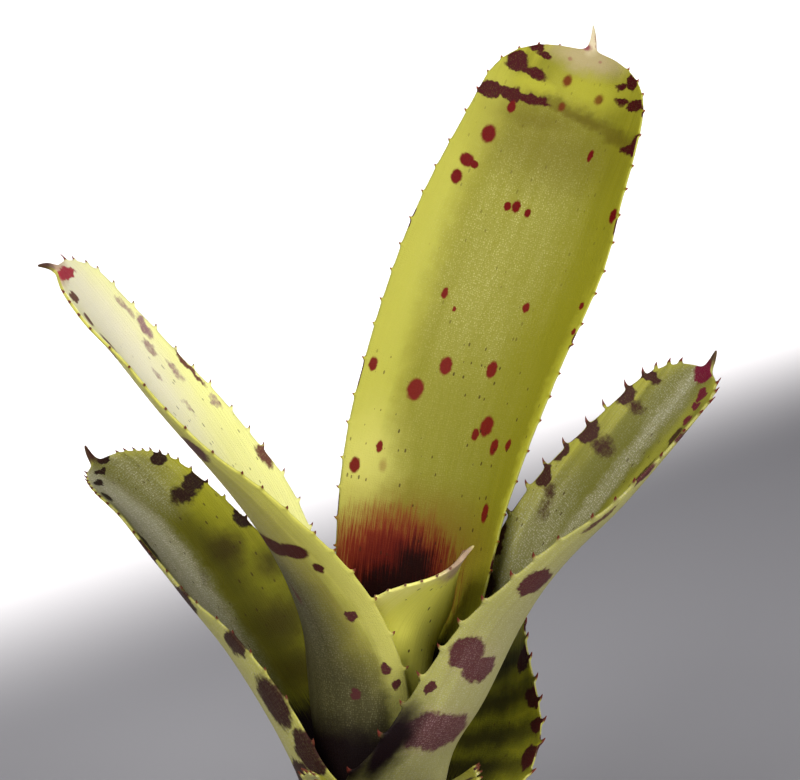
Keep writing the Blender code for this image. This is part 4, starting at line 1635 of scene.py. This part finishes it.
LEAVES = (
    Leaf("heart_leaf", LeafForm(
        layer=0, foot=20, sheath=28, wrap=100, length=50,
        heading=(308, 311, 320, 328), lean=(22, 32, 40, 36), width=(20, 22, 21, 17),
        cup=(68, 50, 40, 26), roll=(0, 8, -7, -20), tip=12, point=3, hook=50),
        SpineRow(pitch=3.4, tip_pitch=2.2, length=0.5, base=0.5, scallop=0.08, wave=0.35),
        HEART_UPPER, HEART_UNDER, seed=11),
    Leaf("tall_leaf", LeafForm(
        layer=1, foot=18, sheath=26, wrap=84, length=136,
        heading=(52, 49, 47, 44), lean=(6, 13, 26, 31, 32, 31), width=(28, 33.5, 35.5, 28.5),
        cup=(31, 32, 31, 50), roll=(0, -18, -33, -32), tip=13, point=4.5, hook=-8),
        SpineRow(pitch=5.0, tip_pitch=3.2, length=0.4, base=0.5, scallop=0.08, wave=0.10),
        TALL_UPPER, TALL_UNDER, seed=12),
    Leaf("left_upper_leaf", LeafForm(
        layer=2, foot=16, sheath=29, wrap=84, length=110,
        heading=(216, 197, 193, 206), lean=(14, 25, 36, 38, 37, 40),
        width=(30, 31.5, 24.5, 18.5), cup=(80, 57, 34, 15), roll=(0, 32), tip=9, point=3.5,
        hook=95),
        SpineRow(pitch=4.6, tip_pitch=2.6, length=0.75, base=0.6, scallop=0.14, wave=0.22),
        LEFT_UPPER_UPPER, LEFT_UPPER_UNDER, seed=13),
    Leaf("right_leaf", LeafForm(
        layer=3, foot=14, sheath=16, wrap=113, length=94,
        heading=(346, 347, 361, 368), lean=(46, 24, 29, 40, 37, 37), width=(38, 33, 26, 17),
        cup=(70, 70, 58, 28), roll=(0, -7, -23, -25), tip=9, point=3.5, hook=18),
        SpineRow(pitch=4.8, tip_pitch=2.2, length=1.2, base=0.8, scallop=0.28, wave=0.25),
        RIGHT_UPPER, RIGHT_UNDER, seed=14),
    Leaf("left_lower_leaf", LeafForm(
        layer=4, foot=12, sheath=14, wrap=108, length=80,
        heading=(150, 144, 150, 164), lean=(35, 38, 42, 41, 46, 57), width=(45, 37, 28, 20),
        cup=(86, 64, 44, 31), roll=(0, -4, 8, 17), tip=10, point=3.5, hook=20),
        SpineRow(pitch=4.2, tip_pitch=1.5, length=0.65, base=0.6, scallop=0.14, wave=0.22),
        LEFT_LOWER_UPPER, LEFT_LOWER_UNDER, seed=15),
    Leaf("front_leaf", LeafForm(
        layer=5, foot=10, sheath=8, wrap=84, length=65,
        heading=(275, 272), lean=(45, 68, 82, 88), width=(33, 28, 25, 22),
        cup=(56, 40, 28, 20), roll=(0, 0), tip=10, point=3.5, hook=95),
        SpineRow(pitch=4.4, tip_pitch=2.0, length=1.0, base=0.7, scallop=0.2, wave=0.3),
        FRONT_UPPER, FRONT_UNDER, seed=16),
    Leaf("back_leaf", LeafForm(
        layer=6, foot=8, sheath=11, wrap=82, length=56,
        heading=(52, 74, 75, 65), lean=(36, 50, 62, 71), width=(40, 34, 26, 20),
        cup=(30, 32, 44, 52), roll=(0, -5, 12, 26), tip=10, point=3.5, hook=60),
        SpineRow(pitch=4.0, tip_pitch=2.0, length=0.9, base=0.7, scallop=0.2, wave=0.3),
        BACK_UPPER, BACK_UNDER, seed=17),
)


@dataclass(frozen=True)
class CorkFinish:
    """Dry cork on the stem and its roots, with scales in cycles to a metre along X, Y and Z.

    Attributes:
        dark: Colour of its hollows.
        light: Colour of its raised fibres.
        fresh: Colour of the stem's cut end and of the roots' young ends.
        roughness: Its roughness.
        gloss: How strongly it mirrors light.
        fibres: Scales of its fibres.
        patches: Scales of its patches.
        light_span: Height at which the light colour starts, and at which it is full.
        relief: Depth of its relief, in millimetres.
    """

    dark: Colour = (0.040, 0.022, 0.012)
    light: Colour = (0.23, 0.14, 0.070)
    fresh: Colour = (0.50, 0.39, 0.21)
    roughness: float = 0.85
    gloss: float = 0.2
    fibres: Triple = (1500, 1500, 300)
    patches: Triple = (260, 260, 420)
    light_span: Pair = (0.42, 0.72)
    relief: float = 0.25


class Cork:
    """The materials of the stem and the roots, over one group for their fibres."""

    def __init__(self, finish: CorkFinish) -> None:
        """Builds the group.

        Args:
            finish: The cork's finish.
        """
        self.finish = finish
        shader, given, result = new_group("dry cork", {"Place": (VECTOR, None)},
                                          {"Light": FLOAT, "Height": FLOAT})
        place = given["Place"]
        fibre = shader.noise(shader.vector("MULTIPLY", place, finish.fibres),
                             detail=4.0, roughness=0.6)
        patch = shader.noise(shader.vector("MULTIPLY", place, finish.patches))
        rise = shader.math("MULTIPLY", patch.outputs["Fac"], 0.5)
        height = shader.math("MULTIPLY_ADD", fibre.outputs["Fac"], 0.6, rise)
        shader.feed(result["Light"], shader.span(height, *finish.light_span))
        shader.feed(result["Height"], height)
        self.group = shader.tree

    def dress(self, name: str, fresh: Pair, radial: bool) -> Material:
        """Builds a material.

        Args:
            name: Its name.
            fresh: Where the fresh colour starts and where it is full, in millimetres.
            radial: Whether these are distances from the stem's axis, and not heights.

        Returns:
            The material.
        """
        finish = self.finish
        material, bsdf = new_material(name)
        shader = Shader(material.node_tree)
        place = shader.node("TexCoord").outputs["Object"]
        cork = shader.node("Group")
        cork.node_tree = self.group
        shader.feed(cork.inputs["Place"], place)
        centred = shader.vector("SUBTRACT", place, (AXIS_AT[0] * MM, AXIS_AT[1] * MM, 0.0))
        where = shader.length(centred) if radial else shader.parts(centred)[2]
        mask = shader.span(where, fresh[0] * MM, fresh[1] * MM)
        bark = shader.mix(cork.outputs["Light"], finish.dark, finish.light)
        grain = shader.math("MULTIPLY_ADD", cork.outputs["Light"], 0.4, 0.6)
        pith = shader.mix(grain, finish.light, finish.fresh)
        shader.feed(bsdf.inputs["Base Color"], shader.mix(mask, bark, pith))
        bsdf.inputs["Roughness"].default_value = finish.roughness
        bsdf.inputs["Specular IOR Level"].default_value = finish.gloss
        shader.relief(bsdf, cork.outputs["Height"], 0.8, finish.relief)
        return material


@dataclass(frozen=True)
class Root:
    """A wiry root, which drops from the stub to the table and lies along it.

    Attributes:
        direction: Compass direction that it leaves in.
        height: Height at which it leaves the stub.
        reach: How far from the stem's axis it ends.
        bend: How far it wanders sideways.
    """

    direction: float
    height: float
    reach: float
    bend: float


ROOTS = (Root(15, 4.6, 22, 2.0), Root(68, 3.8, 19, -2.5), Root(118, 5.0, 24, 1.5),
         Root(172, 4.2, 20, -2.0), Root(222, 3.6, 22, 2.5), Root(268, 4.8, 25, -1.5),
         Root(318, 4.0, 21, 2.0))


@dataclass
class Stem:
    """The short stem, turned up from its cut end, and its roots.

    Attributes:
        crown_rise: Height of the growing point over the youngest leaf's foot.
        stub_radius: Radius of the stub below the leaves.
        cut_radius: Radius at the cut end.
        columns: Faces round the stem.
        ring_pitch: Tallest face on the stub.
        scars: Heights of the scars that old leaves left round the stub.
        scar_height: How far a scar stands out.
        scar_width: Width of a scar, up the stub.
        flutes: Depths of the fine and the finest flutes round the stub.
        boss_height: How far the stub stands out round a root.
        boss_width: How far from the root it does.
        root_radius: Radius of a root where it leaves the stub.
        root_start: Distance from the stem's axis at which a root starts, inside the stub.
        rootlets: Number of fine side roots on a root.
        rootlet_reach: Least and most length of a side root.
        seed: Seed of its unevenness.
        random: Its random numbers.
    """

    crown_rise: float = 3.0
    stub_radius: float = 10.9
    cut_radius: float = 8.8
    columns: int = 96
    ring_pitch: float = 0.45
    scars: tuple[float, ...] = (2.2, 3.9, 5.6)
    scar_height: float = 0.35
    scar_width: float = 0.38
    flutes: Pair = (0.10, 0.07)
    boss_height: float = 0.45
    boss_width: float = 1.1
    root_radius: float = 0.62
    root_start: float = 7.0
    rootlets: int = 5
    rootlet_reach: Pair = (2.5, 5.0)
    seed: int = 21
    random: np.random.Generator = field(init=False, repr=False)

    def __post_init__(self) -> None:
        """Starts the stem's own random numbers."""
        self.random = np.random.default_rng(self.seed)

    def build(self, leaves: tuple[Leaf, ...]) -> list[Object]:
        """Builds and dresses the stem and the roots.

        Args:
            leaves: The leaves that it carries.

        Returns:
            The finished pieces.
        """
        cork = Cork(CorkFinish())
        trunk = self.trunk(self.profile(leaves), min(leaf.form.foot for leaf in leaves))
        trunk.data.materials.append(cork.dress("stem_cork", (0.25, 0.02), radial=False))
        roots = self.roots()
        roots.data.materials.append(cork.dress("root_cork", (14.0, 26.0), radial=True))
        for piece in (trunk, roots):
            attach(piece, "root")
            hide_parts("stem")
        return [trunk, roots]

    def profile(self, leaves: tuple[Leaf, ...]) -> list[Pair]:
        """Works out the stem's outer side from the cut end up.

        Args:
            leaves: The leaves, each on a shoulder of the stem.

        Returns:
            Radii and heights.
        """
        outermost_first = sorted(leaves, key=lambda leaf: -leaf.form.layer)
        foot = outermost_first[0].form.foot
        profile = [(self.cut_radius - 0.5, 0.0), (self.cut_radius, 0.5),
                   (self.stub_radius - 0.8, 3.2), (self.stub_radius, foot - 2.2),
                   (self.stub_radius, foot - SEAT_GAP)]
        for leaf in outermost_first:
            form = leaf.form
            radius = nest_radius(form.layer, form.foot) - SEAT_GAP
            profile += [(radius, form.foot - SEAT_GAP), (radius, form.foot + 0.6)]
        crown = form.foot + self.crown_rise
        profile += [(radius * 0.85, crown - 1.8), (radius * 0.45, crown - 0.6), (0.05, crown)]
        dense = [profile[0]]
        for (r0, z0), (r1, z1) in zip(profile, profile[1:]):
            parts = max(1, math.ceil((z1 - z0) / self.ring_pitch)) if z1 <= foot else 1
            dense += [(r0 + (r1 - r0) * k / parts, z0 + (z1 - z0) * k / parts)
                      for k in range(1, parts + 1)]
        return dense

    def trunk(self, profile: list[Pair], top: float) -> Object:
        """Draws the trunk up from its cut end, ring by ring.

        Args:
            profile: Radii and heights from the cut end up.
            top: Height of the lowest leaf's foot, where the stub ends.

        Returns:
            The trunk.
        """
        bpy.ops.object.select_all(action="DESELECT")
        bpy.ops.mesh.primitive_circle_add(vertices=self.columns, radius=profile[0][0] * MM,
                                          fill_type="TRIFAN", location=(0, 0, 0))
        piece = bpy.context.object
        piece.name = "stem_trunk"
        bpy.ops.object.mode_set(mode="EDIT")
        bm = bmesh.from_edit_mesh(piece.data)
        for vert in bm.verts:
            vert.select = False
        for edge in bm.edges:
            edge.select = edge.is_boundary
        bmesh.update_edit_mesh(piece.data)
        for radius, height in profile[1:]:
            bpy.ops.mesh.extrude_edges_move()
            bm = bmesh.from_edit_mesh(piece.data)
            for vert in bm.verts:
                if vert.select:
                    angle = math.atan2(vert.co.y, vert.co.x)
                    swell = self.relief(angle, height, top)
                    vert.co = Vector(((radius + swell) * math.cos(angle),
                                      (radius + swell) * math.sin(angle), height)) * MM
            bmesh.update_edit_mesh(piece.data)
        bpy.ops.mesh.merge(type="CENTER")
        bpy.ops.mesh.select_all(action="SELECT")
        bpy.ops.mesh.normals_make_consistent(inside=False)
        bpy.ops.transform.translate(value=[value * MM for value in AXIS_AT])
        bpy.ops.object.mode_set(mode="OBJECT")
        bpy.ops.object.shade_smooth_by_angle(angle=math.radians(50))
        return piece

    def relief(self, angle: float, height: float, top: float) -> float:
        """Works out how far the stub's side stands out.

        Args:
            angle: Direction from the axis, in radians.
            height: Height on the stub.
            top: Height at which the stub ends.

        Returns:
            The distance in millimetres.
        """
        if not 0.4 < height < top - 0.6:
            return 0.0
        rise = 0.0
        for k, scar in enumerate(self.scars):
            wander = scar + 0.35 * math.sin(angle + 2.1 * k) + 0.15 * math.sin(3 * angle + k)
            rise += self.scar_height * math.exp(-((height - wander) / self.scar_width) ** 2)
        fine, finest = self.flutes
        rise += fine * math.sin(17 * angle + 2 * height) + finest * math.sin(31 * angle - height)
        for root in ROOTS:
            turn = (angle - math.radians(root.direction) + math.pi) % (2 * math.pi) - math.pi
            away = math.hypot(turn * self.stub_radius, height - root.height)
            rise += self.boss_height * math.exp(-(away / self.boss_width) ** 2)
        return rise

    def roots(self) -> Object:
        """Lays the roots and their fine side roots.

        Returns:
            The roots as one mesh.
        """
        data = bpy.data.curves.new("stem_roots", "CURVE")
        data.dimensions = "3D"
        data.bevel_depth = self.root_radius * MM
        data.bevel_resolution = 2
        data.use_fill_caps = True
        for root in ROOTS:
            path = self.root_path(root)
            self.strand(data, path, 1.0, 0.42)
            for k in range(self.rootlets):
                start = int(len(path) * (0.45 + 0.11 * k))
                if start < len(path) - 2:
                    self.rootlet(data, path, start, side=1 if k % 2 else -1)
        piece = bpy.data.objects.new("stem_roots", data)
        bpy.context.scene.collection.objects.link(piece)
        select_only(piece)
        bpy.ops.object.convert(target="MESH")
        bpy.ops.object.mode_set(mode="EDIT")
        bpy.ops.mesh.select_all(action="SELECT")
        bpy.ops.mesh.remove_doubles(threshold=1e-7)
        bpy.ops.mesh.normals_make_consistent(inside=False)
        bpy.ops.object.mode_set(mode="OBJECT")
        bpy.ops.object.shade_smooth()
        return piece

    def root_path(self, root: Root) -> np.ndarray:
        """Traces a root's middle line.

        Args:
            root: The root.

        Returns:
            Points in millimetres, in the plant's frame.
        """
        heading = math.radians(root.direction)
        out = np.array((math.cos(heading), math.sin(heading), 0.0))
        side = np.array((-out[1], out[0], 0.0))
        t = np.linspace(0.0, 1.0, 30)[:, None]
        sag = 1 - smoothstep(t / 0.75)
        phase = self.random.uniform(0, 2 * math.pi)
        wobble = 0.22 * np.sin(9 * t + phase) * t
        path = out * (self.root_start + (root.reach - self.root_start) * t)
        path = path + side * (root.bend * np.sin(math.pi * 1.6 * t) * t + wobble)
        path[:, 2:] = self.root_radius + (root.height - self.root_radius) * sag
        return path + np.array(AXIS_AT)

    def rootlet(self, data: Curve, path: np.ndarray, start: int, side: int) -> None:
        """Grows a fine side root.

        Args:
            data: The curve that the roots are strands of.
            path: The root that it leaves.
            start: Which of its points it leaves at.
            side: Which side it leaves on.
        """
        along = path[start + 1] - path[start]
        along[2] = 0.0
        along /= np.linalg.norm(along)
        across = np.array((-along[1], along[0], 0.0)) * side
        reach = self.random.uniform(*self.rootlet_reach)
        t = np.linspace(0.0, 1.0, 9)[:, None]
        fine = path[start] + (along * 0.7 + across) * reach * t * 0.8
        fine = fine + across * 0.5 * np.sin(4 * t + side) * t
        fine[:, 2:] = path[start][2] + (0.2 - path[start][2]) * smoothstep(t / 0.6)
        self.strand(data, fine, 0.34, 0.18)

    @staticmethod
    def strand(data: Curve, path: np.ndarray, first: float, last: float) -> None:
        """Adds a tapering strand to a curve.

        Args:
            data: The curve.
            path: The strand's points, in millimetres.
            first: Its thickness where it starts, as a share of the curve's.
            last: Its thickness at its end.
        """
        spline = data.splines.new("POLY")
        spline.points.add(len(path) - 1)
        for i, (point, place) in enumerate(zip(spline.points, path)):
            point.co = (*(float(value) * MM for value in place), 1.0)
            point.radius = first + (last - first) * i / (len(path) - 1)


@dataclass(frozen=True)
class SoftLight:
    """A square light that is turned to the plant.

    Attributes:
        name: Its name.
        size: Length of its sides, in metres.
        power: Its power, in watts.
        place: Where it stands, in metres.
    """

    name: str
    size: float
    power: float
    place: Triple


@dataclass
class Studio:
    """The pale floor, the soft lights and the camera.

    Attributes:
        elevation: The camera's angle above the plant, in degrees.
        distance: Its distance from what it looks at, in metres.
        lens: Its focal length, in millimetres.
        target: What it looks at.
        floor_colour: The floor's colour.
        lights: The lights on the plant, from the upper left and fainter from the right.
        edge_softness: Spread of the floor's light, in degrees, which softens its edge.
        edge_turn: Turn of the floor's light, in degrees, which slants its edge.
    """

    elevation: float = 8.0
    distance: float = 0.6
    lens: float = 168.75
    target: Triple = (0.00282, 0.0099, 0.09101)
    floor_colour: Colour = (0.54, 0.53, 0.55)
    lights: tuple[SoftLight, ...] = (SoftLight("key", 0.5, 7.4, (-0.36, -0.78, 0.60)),
                                     SoftLight("fill", 0.6, 9.0, (0.72, -0.70, 0.36)))
    edge_softness: float = 8.5
    edge_turn: float = -27.2

    def build(self) -> None:
        """Builds the floor, the lights and the camera."""
        bpy.context.scene.view_settings.view_transform = "Standard"
        self.floor()
        self.world()
        self.key_lights()
        self.floor_light()
        self.camera()

    def floor(self) -> None:
        """Lays a plain pale floor."""
        bpy.ops.object.select_all(action="DESELECT")
        bpy.ops.mesh.primitive_plane_add(size=14.0, location=(0, 0, 0))
        floor = bpy.context.object
        floor.name = "floor"
        material, bsdf = new_material("floor")
        bsdf.inputs["Base Color"].default_value = (*self.floor_colour, 1.0)
        bsdf.inputs["Roughness"].default_value = 0.9
        bsdf.inputs["Specular IOR Level"].default_value = 0.1
        floor.data.materials.append(material)

    def world(self) -> None:
        """Fills the shadows with faint light from all round."""
        world = bpy.data.worlds.new("studio")
        bpy.context.scene.world = world
        world.use_nodes = True
        background = world.node_tree.nodes["Background"]
        background.inputs["Color"].default_value = (0.93, 0.92, 1.0, 1.0)
        background.inputs["Strength"].default_value = 0.15

    def key_lights(self) -> None:
        """Lights the plant softly from both sides."""
        for soft in self.lights:
            light = self.area(soft.name, soft.size, soft.size, soft.power)
            light.location = soft.place
            aim = Vector(self.target) - light.location
            light.rotation_euler = aim.to_track_quat("-Z", "Y").to_euler()

    def floor_light(self) -> None:
        """Whitens the floor behind the plant and to its left, up to a soft slanting edge."""
        light = self.area("floor_light", 4.0, 6.0, 200.0)
        light.data.spread = math.radians(self.edge_softness)
        light.data.color = (1.0, 0.985, 0.95)
        light.location = (-0.753, 3.371, 1.1)
        light.rotation_euler = (0.0, 0.0, math.radians(self.edge_turn))

    @staticmethod
    def area(name: str, width: float, height: float, power: float) -> Object:
        """Adds a rectangular light that faces down.

        Args:
            name: Its name.
            width: Its width, in metres.
            height: Its height, in metres.
            power: Its power, in watts.

        Returns:
            The light.
        """
        data = bpy.data.lights.new(name, "AREA")
        data.shape = "RECTANGLE"
        data.size = width
        data.size_y = height
        data.energy = power
        light = bpy.data.objects.new(name, data)
        bpy.context.scene.collection.objects.link(light)
        return light

    def camera(self) -> None:
        """Places the camera at the photograph's angle."""
        data = bpy.data.cameras.new("camera")
        data.lens = self.lens
        data.sensor_width = 36.0
        data.sensor_fit = "HORIZONTAL"
        data.clip_start = 0.01
        data.clip_end = 50.0
        camera = bpy.data.objects.new("camera", data)
        bpy.context.scene.collection.objects.link(camera)
        tilt = math.radians(self.elevation)
        away = Vector((0.0, -math.cos(tilt), math.sin(tilt))) * self.distance
        camera.location = Vector(self.target) + away
        camera.rotation_euler = (-away).to_track_quat("-Z", "Y").to_euler()
        bpy.context.scene.camera = camera


def main() -> None:
    """Builds the plant piece by piece, then the studio."""
    logging.basicConfig(level=logging.INFO, format="%(message)s")
    effects = LeafEffects(LeafTexture())
    for leaf in LEAVES:
        piece = leaf.build(effects)
        LOG.info("%s: %d faces", piece.name, len(piece.data.polygons))
    for piece in Stem().build(LEAVES):
        LOG.info("%s: %d faces", piece.name, len(piece.data.polygons))
    Studio().build()


if __name__ == "__main__":
    main()
